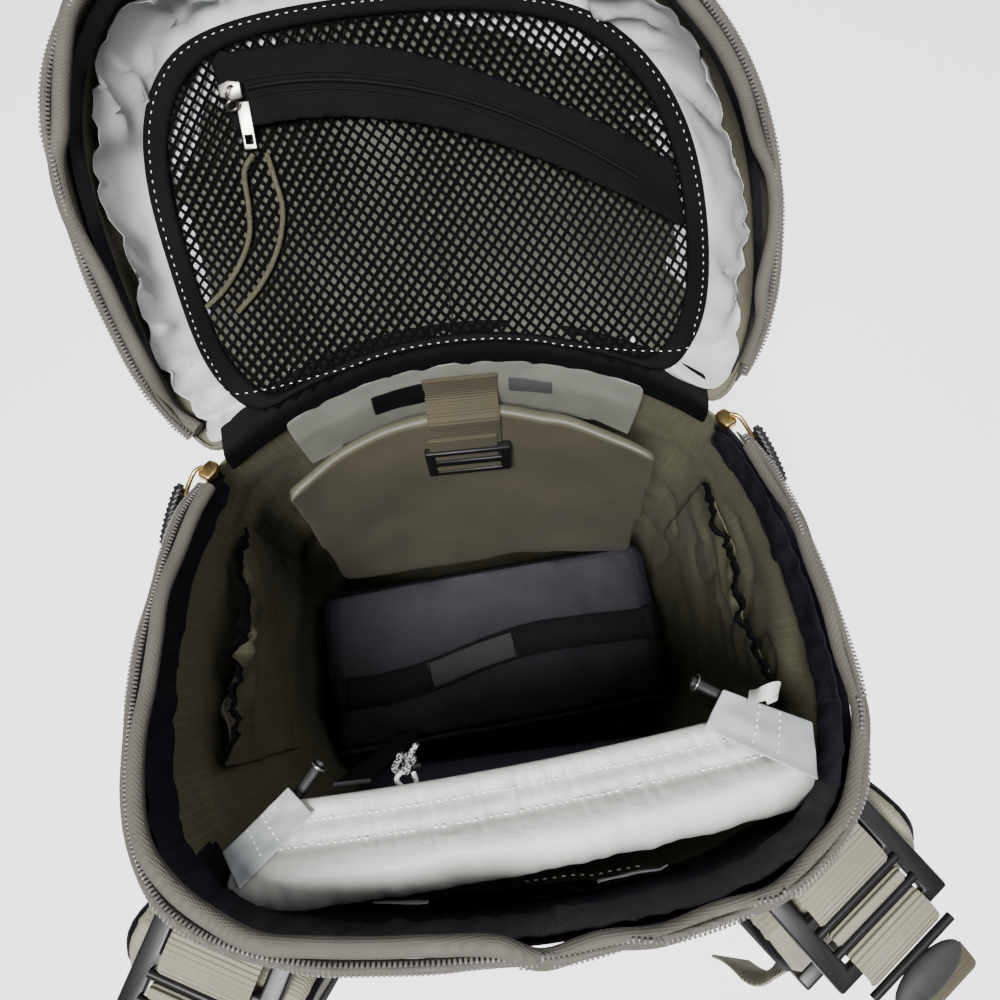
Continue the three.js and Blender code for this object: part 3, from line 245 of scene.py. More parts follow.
def copy_of(name, piece, cuts=()):
    """A merged copy of a CAD node, sliced by planes so that folds can be shaped in it"""
    obj = add_object(piece, frame["nodes"][name].data.copy())
    obj.data.materials.clear()
    only(obj)
    bpy.ops.object.mode_set(mode="EDIT")
    bpy.ops.mesh.select_all(action="SELECT")
    bpy.ops.mesh.remove_doubles(threshold=0.00002)
    for place, normal in cuts:
        bpy.ops.mesh.select_all(action="SELECT")
        bpy.ops.mesh.bisect(plane_co=place, plane_no=normal)
    bpy.ops.mesh.select_all(action="SELECT")
    bpy.ops.mesh.tris_convert_to_quads(face_threshold=0.9, shape_threshold=1.2)
    bpy.ops.object.mode_set(mode="OBJECT")
    return obj


def modify(obj, kind, **settings):
    """Adds one modifier and applies it"""
    only(obj)
    modifier = obj.modifiers.new("step", kind)
    for key, value in settings.items():
        setattr(modifier, key, value)
    bpy.ops.object.modifier_apply(modifier="step")


def rounded(obj, levels):
    modify(obj, "SUBSURF", levels=levels, render_levels=levels)
    bpy.ops.object.shade_smooth()


def reshape(obj, move):
    """Moves each point of a piece to move(point)"""
    for vertex in obj.data.vertices:
        vertex.co = move(vertex.co.copy())


def wrap_uv(obj):
    """Lays cloth round an upright piece, each face taking its width from the side of the pack it is on"""
    layer = obj.data.uv_layers.new(name="cloth")
    for face in obj.data.polygons:
        beside = abs(face.center.x) * 0.8 > abs(face.center.y)
        for corner in face.loop_indices:
            point = obj.data.vertices[obj.data.loops[corner].vertex_index].co
            layer.data[corner].uv = (point.y if beside else point.x, point.z)


def flat_uv(obj, across, along):
    """Lays cloth flat on a piece, its width and its length along two directions"""
    layer = obj.data.uv_layers.new(name="cloth")
    across, along = Vector(across), Vector(along)
    for corner in obj.data.loops:
        point = obj.data.vertices[corner.vertex_index].co
        layer.data[corner.index].uv = (point.dot(across), point.dot(along))


def dress(obj, material, slot, *nodes):
    """Fixes a finished piece to the pack, in place of the CAD nodes that it shows"""
    if material:
        obj.data.materials.append(material)
    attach(obj, "root")
    if nodes:
        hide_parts(*nodes)
    return obj


# The distance from band to band of a wave texture at a scale of 1
WAVE_PERIOD = 0.31416


def woven(
    name, colour, roughness, thread, relief,
    spread=0.14, grid=0.0, sheen=0.03, ribs=False, specular=0.35,
):
    """Cloth: threads both ways on its own UV map, a heavier one at each grid step, and uneven dye.
    Webbing has ribs: bands across its length instead of threads both ways."""
    material = new_material(name, roughness, sheen=sheen, specular=specular)
    ramp = uneven_colour(material, colour, spread, 26)
    place = node(material, "UVMap")
    place.uv_map = "cloth"

    def reckon(operation, sources, **values):
        """The result of a Math node whose inputs, by number, are fed by sockets"""
        made = node(material, "Math", set_operation=operation, **values)
        for number, source in sources.items():
            link(material, source, made.inputs[number])
        return made.outputs["Value"]

    waves = []
    for direction in ("Y",) if ribs else ("X", "Y"):
        wave = node(
            material, "TexWave", set_bands_direction=direction, Scale=WAVE_PERIOD / thread, Distortion=0.15,
        )
        link(material, place.outputs["UV"], wave.inputs["Vector"])
        waves.append(wave.outputs["Fac"])
    height = waves[0] if ribs else reckon("MULTIPLY", {0: waves[0], 1: waves[1]})
    if grid:
        axes = node(material, "SeparateXYZ")
        link(material, place.outputs["UV"], axes.inputs["Vector"])
        lines = []
        for axis in ("X", "Y"):
            steps = reckon("MULTIPLY", {0: axes.outputs[axis]}, n1=1 / grid)
            lines.append(reckon("LESS_THAN", {0: reckon("FRACT", {0: steps})}, n1=0.13))
        either = reckon("MAXIMUM", {0: lines[0], 1: lines[1]})
        height = reckon("MULTIPLY_ADD", {0: either, 2: height}, n1=1.6)
        lit = node(material, "Mix", set_data_type="RGBA", set_blend_type="MULTIPLY")
        lit.inputs["B"].default_value = (1.35, 1.35, 1.35, 1)
        link(material, either, lit.inputs["Factor"])
        link(material, ramp.outputs["Color"], lit.inputs["A"])
        link(material, lit.outputs["Result"], shader_of(material).inputs["Base Color"])
    bump = node(material, "Bump", Strength=0.8, Distance=relief)
    link(material, height, bump.inputs["Height"])
    link(material, bump.outputs["Normal"], shader_of(material).inputs["Normal"])
    return material


# Where the lid hinges on the front edge, and how steeply the mouth rises from there to the back
HINGE_Y = 0.085
HINGE_Z = 0.4706
MOUTH_SLOPE = 0.382
CRUMPLE_SIZE = 0.0032


def below_rim(point):
    """How far a place lies under the plane of the mouth, which rises towards the back"""
    return HINGE_Z + MOUTH_SLOPE * (HINGE_Y - point.y) - point.z


def crumple(point):
    """How far the cloth of the bag stands out from its pattern at a place, in metres"""
    at_hinge = min(1, max(0, (0.06 - point.y) / 0.04) + max(0, (0.44 - point.z) / 0.05))
    at_base = min(1, max(0, point.z - 0.012) / 0.06)
    at_rim = 0.06 + 0.94 * min(1, max(0, below_rim(point)) / 0.07)
    broad = noise.noise(point * 13) + 0.5 * noise.noise(point * 31 + Vector((5, 0, 0)))
    fold = 1 - abs(noise.noise(Vector((point.x * 30, point.y * 30, point.z * 17)))) * 2.4
    return CRUMPLE_SIZE * at_hinge * at_base * at_rim * (broad + 0.5 * fold ** 3)


def outward(point):
    return Vector((point.x / 0.15, (point.y + 0.01) / 0.12, 0)).normalized()


def crumpled(point):
    return point + outward(point) * crumple(point)


shell_nylon = woven("shell_nylon", SHELL_COLOUR, 0.72, 0.0009, 0.00022)
olive_ripstop = woven("olive_ripstop", RIPSTOP_COLOUR, 0.62, 0.0005, 0.0001, grid=0.0045)
navy_ripstop = woven("navy_ripstop", NAVY_COLOUR, 0.6, 0.0006, 0.0001, grid=0.004, sheen=0.0, specular=0.12)
seam_tape = woven("seam_tape", SEAM_COLOUR, 0.8, 0.0008, 0.0002)

CUT_HEIGHTS = [
    0.03, 0.06, 0.08, 0.14, 0.17, 0.2, 0.26, 0.29, 0.32, 0.35, 0.38, 0.41, 0.435, 0.46, 0.485, 0.505,
]
bag = copy_of("bag_body", "bag_shell", slices("z", CUT_HEIGHTS))
rounded(bag, 2)
for cloth in (shell_nylon, olive_ripstop, navy_ripstop):
    bag.data.materials.append(cloth)
for face in bag.data.polygons:
    inside = face.normal.dot(outward(face.center)) < -0.2
    floor_inside = face.normal.z > 0.7 and face.center.z < 0.02
    band_tall = 0.014 if face.center.y > -0.085 else 0.06
    near_rim = below_rim(face.center) < band_tall and face.center.y < 0.08
    face.material_index = (2 if near_rim else 1) if inside or floor_inside else 0
reshape(bag, crumpled)
wrap_uv(bag)
dress(bag, None, "olive_fabric", "bag_body")


def catcher(obj):
    """The surface of a piece, for a ray to meet"""
    mesh = obj.data
    return BVHTree.FromPolygons([v.co for v in mesh.vertices], [list(p.vertices) for p in mesh.polygons])


def struck(surface, start, aim):
    """Where a ray meets a surface, or None"""
    return surface.ray_cast(start, aim)[0]


def piping(piece, points, radius, material, slot, cyclic=False):
    """A thin round trim along a line of points"""
    trim = round_curve(piece, points, radius, 2, cyclic)
    only(trim)
    bpy.ops.object.convert(target="MESH")
    bpy.ops.object.shade_smooth()
    flat_uv(trim, (1, 1, 0), (0, 0, 1))
    return dress(trim, material, slot)


bag_surface = catcher(bag)


def on_bag(x, y, z, lift=0.0):
    """The place on the outside of the bag that a ray towards its axis meets"""
    aim = outward(Vector((x, y, z)))
    hit = struck(bag_surface, Vector((0, -0.01, z)) + aim * 0.4, -aim)
    return hit + aim * lift


base_turns = np.linspace(0, 2 * math.pi, 160)[:-1]
base_seam = [on_bag(math.cos(a), math.sin(a), 0.03, 0.0003) for a in base_turns]
piping("base_seam", base_seam, 0.0016, seam_tape, "black_fabric", cyclic=True)
for side, name in ((-1, "left"), (1, "right")):
    corner = [on_bag(side * 0.15, 0.083, z, 0.0004) for z in np.linspace(0.035, 0.452, 50)]
    piping(f"corner_seam_{name}", corner, 0.0014, seam_tape, "black_fabric")

# Main zip
# A coarse coil zip runs round three sides of the mouth, half on the bag and half on the lid. Each half
# is a woven taupe tape with its coil sewn on top, and every turn of the coil shows as a short bar.
TAPE_COLOUR = (0.088, 0.079, 0.067)
COIL_COLOUR = (0.120, 0.112, 0.102)
zip_tape = woven("zip_tape", TAPE_COLOUR, 0.8, 0.0008, 0.0002)
zip_coil = new_material("zip_coil", 0.32, specular=0.6)
uneven_colour(zip_coil, COIL_COLOUR, 0.25, 300)


def stations(name, up):
    """The sections of a CAD zip in order: the middle of each, and its directions inward and up"""
    merged = copy_of(name, name + "_line")
    points = [v.co.copy() for v in merged.data.vertices]
    bpy.data.objects.remove(merged)
    middle = sum(points, Vector()) / len(points)
    side = Vector((1, 0, 0))
    depth = up.cross(side).normalized()

    def angle(p):
        return math.atan2((p - middle).dot(side), -(p - middle).dot(depth))

    if sum((p - middle).dot(depth) for p in points if abs(angle(p)) < 0.5) >= 0:
        depth = -depth
    points.sort(key=angle)
    found = []
    for i in range(0, len(points) - 3, 4):
        group = sorted(points[i:i + 4], key=lambda p: p.dot(up))
        low, high = group[:2], group[2:]
        inner, outer = sorted(high, key=lambda p: (p - middle).length)
        centre = sum(group, Vector()) / 4
        found.append((centre, inner - outer, (high[0] + high[1] - low[0] - low[1]) / 2))
    return found


def add_mesh(piece, points, faces):
    """A new object made of points and faces"""
    mesh = bpy.data.meshes.new(piece)
    mesh.from_pydata(points, [], faces)
    return add_object(piece, mesh)


def repeat(piece, model, seats):
    """One mesh with a copy of the model at each seat: its place and the three directions of its axes"""
    points = np.array([v.co for v in model.data.vertices])
    faces = [list(p.vertices) for p in model.data.polygons]
    all_points, all_faces = [], []
    for place, x, y, z in seats:
        turn = np.array([x, y, z])
        all_faces += [[v + len(points) * (len(all_points)) for v in face] for face in faces]
        all_points.append(points @ turn + np.array(place))
    obj = add_mesh(piece, np.concatenate(all_points).tolist(), all_faces)
    only(obj)
    bpy.ops.object.shade_smooth()
    return obj


def sewn(name, piece, material, slot, move=None, laid=None, cuts=(), levels=2):
    """A soft piece made from a CAD node: sliced, rounded, folded by move, covered in cloth and fixed.
    Its cloth is laid flat by two directions, or else wrapped round the pack."""
    obj = copy_of(name, piece, cuts)
    rounded(obj, levels)
    if move:
        reshape(obj, move)
    if laid:
        flat_uv(obj, *laid)
    else:
        wrap_uv(obj)
    return dress(obj, material, slot, name)


# One turn of the coil, bent over the tape: an arch of five short six-sided steps
bpy.ops.mesh.primitive_cylinder_add(vertices=6, radius=0.00062, depth=0.0044, rotation=(math.pi / 2, 0, 0))
coil_turn = bpy.context.object
bpy.ops.object.transform_apply(location=True, rotation=True, scale=True)
bpy.ops.object.mode_set(mode="EDIT")
for y in (-0.0013, 0, 0.0013):
    bpy.ops.mesh.select_all(action="SELECT")
    bpy.ops.mesh.bisect(plane_co=(0, y, 0), plane_no=(0, 1, 0))
bpy.ops.object.mode_set(mode="OBJECT")


def arched(point):
    height = point.z * (1 - (point.y / 0.0032) ** 2)
    return Vector((point.x, point.y, height + 0.0009 - (point.y / 0.0022) ** 2 * 0.0011))


reshape(coil_turn, arched)

LID_OPEN = math.radians(33.8)
LID_ALONG = Vector((0, math.cos(LID_OPEN), math.sin(LID_OPEN)))
LID_OUT = Vector((0, math.sin(LID_OPEN), -math.cos(LID_OPEN)))
TOOTH_PITCH = 0.00172
for edge, up, move, rim_wide in (
    ("bag", Vector((0, 0, 1)), crumpled, 0.0056),
    ("lid", -LID_OUT, lambda p: p, 0.0050),
):
    sewn(f"{edge}_zip_tape", f"{edge}_tape", zip_tape, "zip_tape", move, ((1, 1, 0), (0, 0.3, 1)))
    sections = stations(f"{edge}_zip_coil", up)
    count = int(length_of([s[0] for s in sections]) / TOOTH_PITCH)
    middles = [move(p) for p in spline([s[0] for s in sections], count)]
    inner = spline([s[0] + s[1] for s in sections], count)
    piping(f"{edge}_coil_core", middles[::4], 0.0012, zip_tape, "zip_coil")
    seats = []
    for i, (place, toward) in enumerate(zip(middles, inner)):
        along = (middles[min(i + 1, count - 1)] - middles[max(i - 1, 0)]).normalized()
        rise = along.cross(toward - place).normalized()
        if rise.dot(up) < 0:
            rise = -rise
        seats.append((place - rise * 0.0004, along, rise.cross(along), rise))
    dress(repeat(f"{edge}_coil", coil_turn, seats), zip_coil, "zip_coil", f"{edge}_zip_coil")
    seam = spline([s[0] - up * 0.0030 - s[1].normalized() * 0.0004 for s in sections], 220)
    piping(f"{edge}_zip_seam", [move(p) for p in seam], 0.0023, zip_tape, "zip_tape")
    rim = spline([s[0] + s[1].normalized() * rim_wide - up * 0.0026 for s in sections], 220)
    piping(f"{edge}_mouth_binding", [move(p) for p in rim], 0.0033, zip_tape, "zip_tape")
bpy.data.objects.remove(coil_turn)

# Facing inside the mouth
# A band of crisp navy-black ripstop sewn behind the zip inside the mouth, slightly gathered, with its
# lower hem turned under.


def gathered(point, size, pitch):
    """Small upright gathers in a strip of cloth"""
    along = math.atan2(point.x, -point.y - 0.01)
    low = noise.noise(Vector((along * 0.13 / pitch, point.z * 40, 1.5)))
    high = noise.noise(Vector((along * 0.13 / pitch * 2.3, point.z * 60, 7.5)))
    return size * (low + 0.5 * high)


facing = sewn(
    "bag_facing", "mouth_facing", navy_ripstop, "navy_tape", levels=3,
    move=lambda p: crumpled(p) - outward(p) * (0.0005 + abs(gathered(p, 0.0022, 0.011))),
)

# Lid
# A shallow dish of the same olive-grey nylon, thrown open over the front edge. Inside it has a dark
# facing under the zip and a pale grey coated lining that stands in soft creases round the net pocket.
LINING_COLOUR = (0.46, 0.47, 0.47)
lid_lining_cloth = woven(
    "lid_lining_cloth", LINING_COLOUR, 0.42, 0.0005, 0.00006, spread=0.08, specular=0.5,
)
hinge_place = Vector((0, HINGE_Y, HINGE_Z))
# The lid's length, how far its top leans to one side, and how far up it the net pocket's middle is
LID_LENGTH = 0.222
LID_SKEW = 0.029
LID_MIDDLE = 0.1


def lid_place(point):
    """Across, up from the hinge, and deep, in the lid's own unskewed frame"""
    s = (point - hinge_place).dot(LID_ALONG)
    return point.x + LID_SKEW * max(0, s / LID_LENGTH) ** 2, s, (point - hinge_place).dot(LID_OUT)


def lid_point(x, s, depth):
    across = Vector((x - LID_SKEW * max(0, s / LID_LENGTH) ** 2, 0, 0))
    return hinge_place + across + LID_ALONG * s + LID_OUT * depth


lid = copy_of("lid_shell", "lid_cover")
rounded(lid, 2)
lid.data.materials.append(shell_nylon)
flat_uv(lid, (1, 0, 0), LID_ALONG)


def lid_folds(point):
    x, s, depth = lid_place(point)
    fade = min(1, max(0, s) / 0.05) * min(1, max(0, depth) / 0.012)
    swell = noise.noise(point * 16) + 0.5 * noise.noise(point * 41)
    return point + LID_OUT * (0.0028 * fade * swell)


reshape(lid, lid_folds)
dress(lid, None, "olive_fabric", "lid_shell")


def pocket_share(x, s):
    """How far out on the lid a place lies: 0 at the middle of the net pocket, 1 near its edge"""
    return math.hypot(x / 0.137, (s - LID_MIDDLE) / 0.101)


def lining_folds(point):
    """Creases of the lining on the lid's wall, outside the net pocket, which fade under the pocket"""
    x, s, depth = lid_place(point)
    free = min(1, max(0, pocket_share(x, s) - 1.0) / 0.1)
    away = Vector((x, 0, 0)) + LID_ALONG * (s - LID_MIDDLE)
    away.normalize()
    turn = math.atan2(x, s - LID_MIDDLE)
    crease = 1 - abs(noise.noise(Vector((turn * 6.5, depth * 45, 3)))) * 2.6
    broad = noise.noise(Vector((turn * 4, depth * 30, 9)))
    lift = 0.0085 * free * max(0, 0.8 * crease ** 2 + broad)
    return lid_folds(point) - away * lift - LID_OUT * lift * 0.6


lining = copy_of("lid_lining", "lid_lining_cloth")
rounded(lining, 2)
flat_uv(lining, (1, 0, 0), LID_ALONG)
reshape(lining, lining_folds)
only(lining)
bpy.ops.object.mode_set(mode="EDIT")
bpy.ops.mesh.select_mode(type="FACE")
bpy.ops.mesh.select_all(action="DESELECT")
bpy.ops.object.mode_set(mode="OBJECT")
for face in lining.data.polygons:
    x, s, _ = lid_place(face.center)
    face.select = pocket_share(x, s) < 0.86
bpy.ops.object.mode_set(mode="EDIT")
bpy.ops.mesh.delete(type="FACE")
bpy.ops.mesh.select_mode(type="VERT")
bpy.ops.object.mode_set(mode="OBJECT")
dress(lining, lid_lining_cloth, "grey_lining", "lid_lining")

sewn(
    "lid_facing", "lid_edge_facing", navy_ripstop, "navy_tape", levels=3,
    move=lambda p: p - LID_OUT * gathered(p, 0.001, 0.012), laid=((1, 0.5, 0), (0, 0.3, 1)),
)

# Net pocket
# A zipped pocket of knitted black net with diamond cells about five millimetres wide, stretched over
# the lid's lining, bound in black tape all round. A wide black fabric arch holds its zip.
# the lid's lining, bound in black tape all round. A wide black fabric arch holds its zip.
BLACK_COLOUR = (0.0028, 0.0028, 0.0034)
black_cloth = woven("black_cloth", BLACK_COLOUR, 0.7, 0.0007, 0.00014, sheen=0.0, specular=0.09)
# Olive cloth for the sheet under the net, much darker than the lid's lining: painted shade behind the net
olive_sheet_painted_dark = woven("olive_sheet_painted_dark", (0.056, 0.055, 0.040), 0.6, 0.0005, 0.0001, grid=0.0045)
net_yarn = new_material("net_yarn", 0.7, specular=0.12)
uneven_colour(net_yarn, (0.0035, 0.0035, 0.004), 0.3, 700)

binding = copy_of("net_pocket_binding", "net_binding")
outline = {}
for vertex in binding.data.vertices:
    x, s, _ = lid_place(vertex.co)
    turn = math.atan2(x, s - LID_MIDDLE)
    outline.setdefault(round(turn, 1), []).append((math.hypot(x, s - LID_MIDDLE), turn))
once = [(turn, reach) for reach, turn in map(max, outline.values())]
rims = sorted((turn + lap * 2 * math.pi, reach) for turn, reach in once for lap in (-1, 0, 1))
rounded(binding, 2)
flat_uv(binding, (1, 0, 0), LID_ALONG)
dress(binding, black_cloth, "black_fabric", "net_pocket_binding")


def pocket_reach(turn):
    """How far the pocket's outline lies from its middle, in one direction"""
    return np.interp(turn, [t for t, _ in rims], [r for _, r in rims])


def cloth_grid(piece, rows, material, slot, wall, *nodes, across=(1, 0, 0), along=(0, 0.3, 1)):
    """A sheet of cloth through rows of points, with its thickness on both sides"""
    count = len(rows[0])
    faces = [
        (r * count + c, r * count + c + 1, (r + 1) * count + c + 1, (r + 1) * count + c)
        for r in range(len(rows) - 1) for c in range(count - 1)
    ]
    obj = add_mesh(piece, [p for row in rows for p in row], faces)
    modify(obj, "SOLIDIFY", thickness=wall, offset=0)
    rounded(obj, 1)
    flat_uv(obj, across, along)
    return dress(obj, material, slot, *nodes)


# Half the hinge's width, the bow of the front wall, and the lid's depth with the ramp up to it
HINGE_HALF = 0.1211
FRONT_RISE = 0.045
LID_DEPTH = 0.054
LID_RAMP = 0.1
HINGE_LIP = 0.007


def front_rise(x):
    """How far the front wall bows out from the line between the hinge's ends, an arc of a circle"""
    radius = (HINGE_HALF ** 2 + FRONT_RISE ** 2) / (2 * FRONT_RISE)
    return math.sqrt(radius ** 2 - min(abs(x), HINGE_HALF) ** 2) - (radius - FRONT_RISE)


def lid_floor(x, s):
    """The depth of the lid's outside, which curves up to the hinge at its lower edge"""
    rise = front_rise(x)
    at_hinge = rise * math.sin(LID_OPEN) + HINGE_LIP * min(1, abs(x) / HINGE_HALF) ** 4
    t = min(1, max(0, (s - rise * math.cos(LID_OPEN)) / LID_RAMP))
    return at_hinge + (LID_DEPTH - at_hinge) * t * t * (3 - 2 * t)


# Under the net the pale lining is cut away and a dark olive sheet lies in its place; its darkness is painted
# shade behind the net
inner_rows = []
for scale in np.linspace(0.03, 0.97, 22):
    row = []
    for turn in np.linspace(-math.pi, math.pi, 97):
        reach = pocket_reach(turn) * scale
        x, s = math.sin(turn) * reach, LID_MIDDLE + math.cos(turn) * reach
        fold = noise.noise(Vector((x * 22, s * 30, 6))) + 0.5 * noise.noise(Vector((x * 60, s * 70, 2)))
        row.append(lid_folds(lid_point(x, s, lid_floor(x, s) - 0.0050 - 0.0012 * fold)))
    inner_rows.append(row)
inner = cloth_grid("lid_inner_cloth", inner_rows, olive_sheet_painted_dark, "olive_lining", 0.0006, along=LID_ALONG)

# How far the net lies inside the lid's outer face, and the size of one of its cells
NET_REST = 0.0082
CELL_WIDE = 0.0056
CELL_TALL = 0.0060


def net_point(x, s):
    return lid_point(x, s, lid_floor(x, s) - NET_REST + 0.0008 * noise.noise(Vector((x * 30, s * 30, 2))))


corners, cells = {}, []
for row in range(int(0.21 / (CELL_TALL / 2))):
    for col in range(-26, 27):
        x = (col + (row % 2) / 2) * CELL_WIDE
        s = row * CELL_TALL / 2
        reach = pocket_reach(math.atan2(x, s - LID_MIDDLE))
        if math.hypot(x, s - LID_MIDDLE) > reach * 0.955:
            continue
        cell = []
        for dx, ds in ((0.5, 0), (0, 0.5), (-0.5, 0), (0, -0.5)):
            key = (round((x / CELL_WIDE + dx) * 2), round((s / CELL_TALL + ds) * 2))
            if key not in corners:
                corners[key] = (len(corners), net_point(x + dx * CELL_WIDE, s + ds * CELL_TALL))
            cell.append(corners[key][0])
        cells.append(cell)
net = add_mesh("pocket_net", [p for _, p in corners.values()], cells)
modify(net, "WIREFRAME", thickness=0.0023, use_even_offset=False, use_boundary=True)
flat_uv(net, (1, 0, 0), LID_ALONG)
dress(net, net_yarn, "black_net", "net_pocket_panel")

white_thread = new_material("white_thread", 0.55)
uneven_colour(white_thread, (0.80, 0.80, 0.78), 0.08, 500)


def stitches(piece, points, up, material, slot, length=0.0021, pitch=0.0030, radius=0.00032):
    """A row of thread stitches that follows a line of points"""
    spots = spline(points, max(4, int(length_of(points) / pitch)))
    bpy.ops.mesh.primitive_uv_sphere_add(segments=6, ring_count=5, radius=1)
    model = bpy.context.object
    model.scale = (length / 2, radius * 1.5, radius)
    bpy.ops.object.transform_apply(location=True, rotation=True, scale=True)
    seats = []
    for a, b in zip(spots, spots[1:]):
        along = (b - a).normalized()
        side = Vector(up).cross(along).normalized()
        seats.append((a, along, side, along.cross(side)))
    row = repeat(piece, model, seats)
    bpy.data.objects.remove(model)
    flat_uv(row, (1, 0, 0), (0, 1, 0))
    return dress(row, material, slot)


binding_surface = catcher(binding)
binding_row = []
for turn, reach in rims:
    if -math.pi - 0.05 < turn < math.pi + 0.05:
        x, s = math.sin(turn) * reach * 0.968, LID_MIDDLE + math.cos(turn) * reach * 0.968
        hit = struck(binding_surface, lid_point(x, s, -0.05), LID_OUT)
        if hit:
            binding_row.append(hit - LID_OUT * 0.0002)
stitches(
    "net_binding_stitches", binding_row, -LID_OUT, white_thread, "white_nylon",
    length=0.0017, pitch=0.0042, radius=0.00017,
)


def band_folds(point):
    """Wrinkles of the band, whose right end is drawn out to the binding"""
    x, _, _ = lid_place(point)
    drawn = min(1, max(0, x - 0.055) / 0.04)
    wrinkle = 0.0010 + 0.0013 * noise.noise(point * 60) + 0.0014 * noise.noise(point * 23)
    return point + Vector((0.013 * drawn, 0, 0)) - LID_ALONG * (0.005 * drawn) - LID_OUT * wrinkle


band = sewn(
    "net_pocket_zip_band", "net_zip_band", black_cloth, "black_fabric", band_folds,
    ((1, 0, 0), LID_ALONG), slices("x", np.linspace(-0.09, 0.095, 30)),
)
band_surface = catcher(band)


def band_middle(x):
    return 0.162 - 2.48 * (x + 0.048) ** 2


def on_band(x, s, lift):
    return struck(band_surface, lid_point(x, s, -0.05), LID_OUT) - LID_OUT * lift


net_coil = [on_band(x, band_middle(x), 0.0003) for x in np.linspace(-0.068, 0.1, 90)]
piping("net_zip_coil", net_coil, 0.0011, net_yarn, "black_fabric")
for number, shift in ((1, 0.0035), (2, -0.0035)):
    row = [on_band(x, band_middle(x) + shift, 0.0001) for x in np.linspace(-0.076, 0.102, 90)]
    piping(f"net_zip_seam_{number}", row, 0.0005, net_yarn, "black_fabric")

# Net pocket's slider and tab
# A bright nickel-plated slider at the left end of the pocket's zip, with a long pierced tab. Both are
# castings with rounded edges, and two small wire rings join them.
def bevelled(obj, edge):
    """Rounds off the edges of a hard piece"""
    modify(obj, "BEVEL", width=edge, segments=3, limit_method="ANGLE")
    bpy.ops.object.shade_smooth_by_angle(angle=0.7)
    return obj


def wire_ring(piece, place, turn, radius, segments, wire_segments):
    """A ring of wire 1.2 mm thick"""
    bpy.ops.mesh.primitive_torus_add(
        location=place, rotation=turn, major_radius=radius, minor_radius=0.0006,
        major_segments=segments, minor_segments=wire_segments,
    )
    ring = bpy.context.object
    ring.name = piece
    bpy.ops.object.transform_apply(location=True, rotation=True, scale=True)
    bpy.ops.object.shade_smooth()
    return ring


plated_steel = new_material("plated_steel", 0.32, metallic=1)
uneven_colour(plated_steel, (0.34, 0.32, 0.28), 0.2, 350)
for name, piece in (("net_pocket_slider", "net_slider_body"), ("net_pocket_tab", "net_slider_tab")):
    dress(bevelled(copy_of(name, piece), 0.0004), plated_steel, "steel", name)
slider_low, slider_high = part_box("net_pocket_slider")
slider_middle = (slider_low + slider_high) / 2
for name, shift, turn in (("net_slider_bridge", -0.001, 0.0), ("net_slider_ring", -0.0062, math.pi / 2)):
    place = slider_middle + LID_ALONG * shift - LID_OUT * 0.003
    ring = wire_ring(name, place, (LID_OPEN + turn * 0.3, math.pi / 2, 0), 0.0028, 24, 8)
    dress(ring, plated_steel, "steel")

# Hinge facing, collar and patches
# A navy strip bridges the seam where the lid joins the front edge. Under it a pale grey coated strip is
# sewn inside the front wall, with two small bare patches, one black with a raised frame, one grey.
UPRIGHT = ((1, 0, 0), (0, 0, 1))
collar_cloth = woven(
    "collar_cloth", (0.150, 0.150, 0.130), 0.45, 0.0005, 0.00006, spread=0.1, sheen=0.02, specular=0.5,
)
patch_grey = woven("patch_grey", (0.050, 0.050, 0.050), 0.6, 0.0005, 0.00008, sheen=0.02)

hinge_rows = []
for share in np.linspace(0, 1, 7):
    row = []
    for x in np.linspace(-0.117, 0.117, 90):
        rise = front_rise(x)
        s = rise * math.cos(LID_OPEN) + 0.014
        top = lid_point(x, s, lid_floor(x, s) - 0.0072)
        over = Vector((x, HINGE_Y + rise - 0.0034, 0.4735))
        low = Vector((x, HINGE_Y + rise - 0.0066, 0.4600))
        place = top.lerp(over, share * 2) if share < 0.5 else over.lerp(low, share * 2 - 1)
        crinkle = 0.0009 * noise.noise(Vector((x * 120, share * 2, 4)))
        row.append(place + Vector((0, -0.3, 1)) * crinkle)
    hinge_rows.append(row)
cloth_grid("hinge_facing", hinge_rows, black_cloth, "navy_tape", 0.0009)


def collar_folds(point):
    """Small puckers, and a lower hem drawn down the wall"""
    hem = min(1, max(0, 0.452 - point.z) / 0.010)
    return point + Vector((0, -abs(noise.noise(point * 48)) * 0.0016, -0.013 * hem))


collar = sewn(
    "front_collar", "front_collar_strip", collar_cloth, "grey_lining", collar_folds, UPRIGHT,
    slices("x", np.linspace(-0.085, 0.085, 24)),
)
collar_surface = catcher(collar)
PATCH_Z = 0.4515
for name, middle, wide, tall, material, frame_wide in (
    ("collar_patch_framed", -0.034, 0.027, 0.014, black_cloth, 0.0014),
    ("collar_patch_grey", 0.034, 0.022, 0.010, patch_grey, 0.0),
):
    rows = []
    for z in np.linspace(PATCH_Z - tall / 2, PATCH_Z + tall / 2, 9):
        row = []
        for x in np.linspace(middle - wide / 2, middle + wide / 2, 15):
            hit = struck(collar_surface, Vector((x, 0, z)), Vector((0, 1, 0)))
            at_edge = min(wide / 2 - abs(x - middle), tall / 2 - abs(z - PATCH_Z))
            raised = 0.0006 if frame_wide and at_edge < frame_wide * 1.5 else 0
            row.append(hit + Vector((0, -0.0007 - raised, 0)))
        rows.append(row)
    cloth_grid(name, rows, material, "black_fabric" if frame_wide else "grey_lining", 0.0006)

# Front divider
# A padded panel in smooth tan coated nylon, rolled over at its top edge, that closes off a slot at the
# front of the main compartment. It sags a little between its sides.
divider_cloth = woven(
    "divider_cloth", (0.080, 0.073, 0.048), 0.48, 0.0005, 0.00005, spread=0.1, sheen=0.02, specular=0.45,
)


def divider_sag(point):
    low = noise.noise(point * 17)
    crease = 0.5 * noise.noise(Vector((point.x * 45, point.y * 20, point.z * 22)))
    inside = min(1, max(0, (0.11 - abs(point.x)) / 0.04))
    return point + Vector((0, 0.0035 * inside * (low + crease), 0))


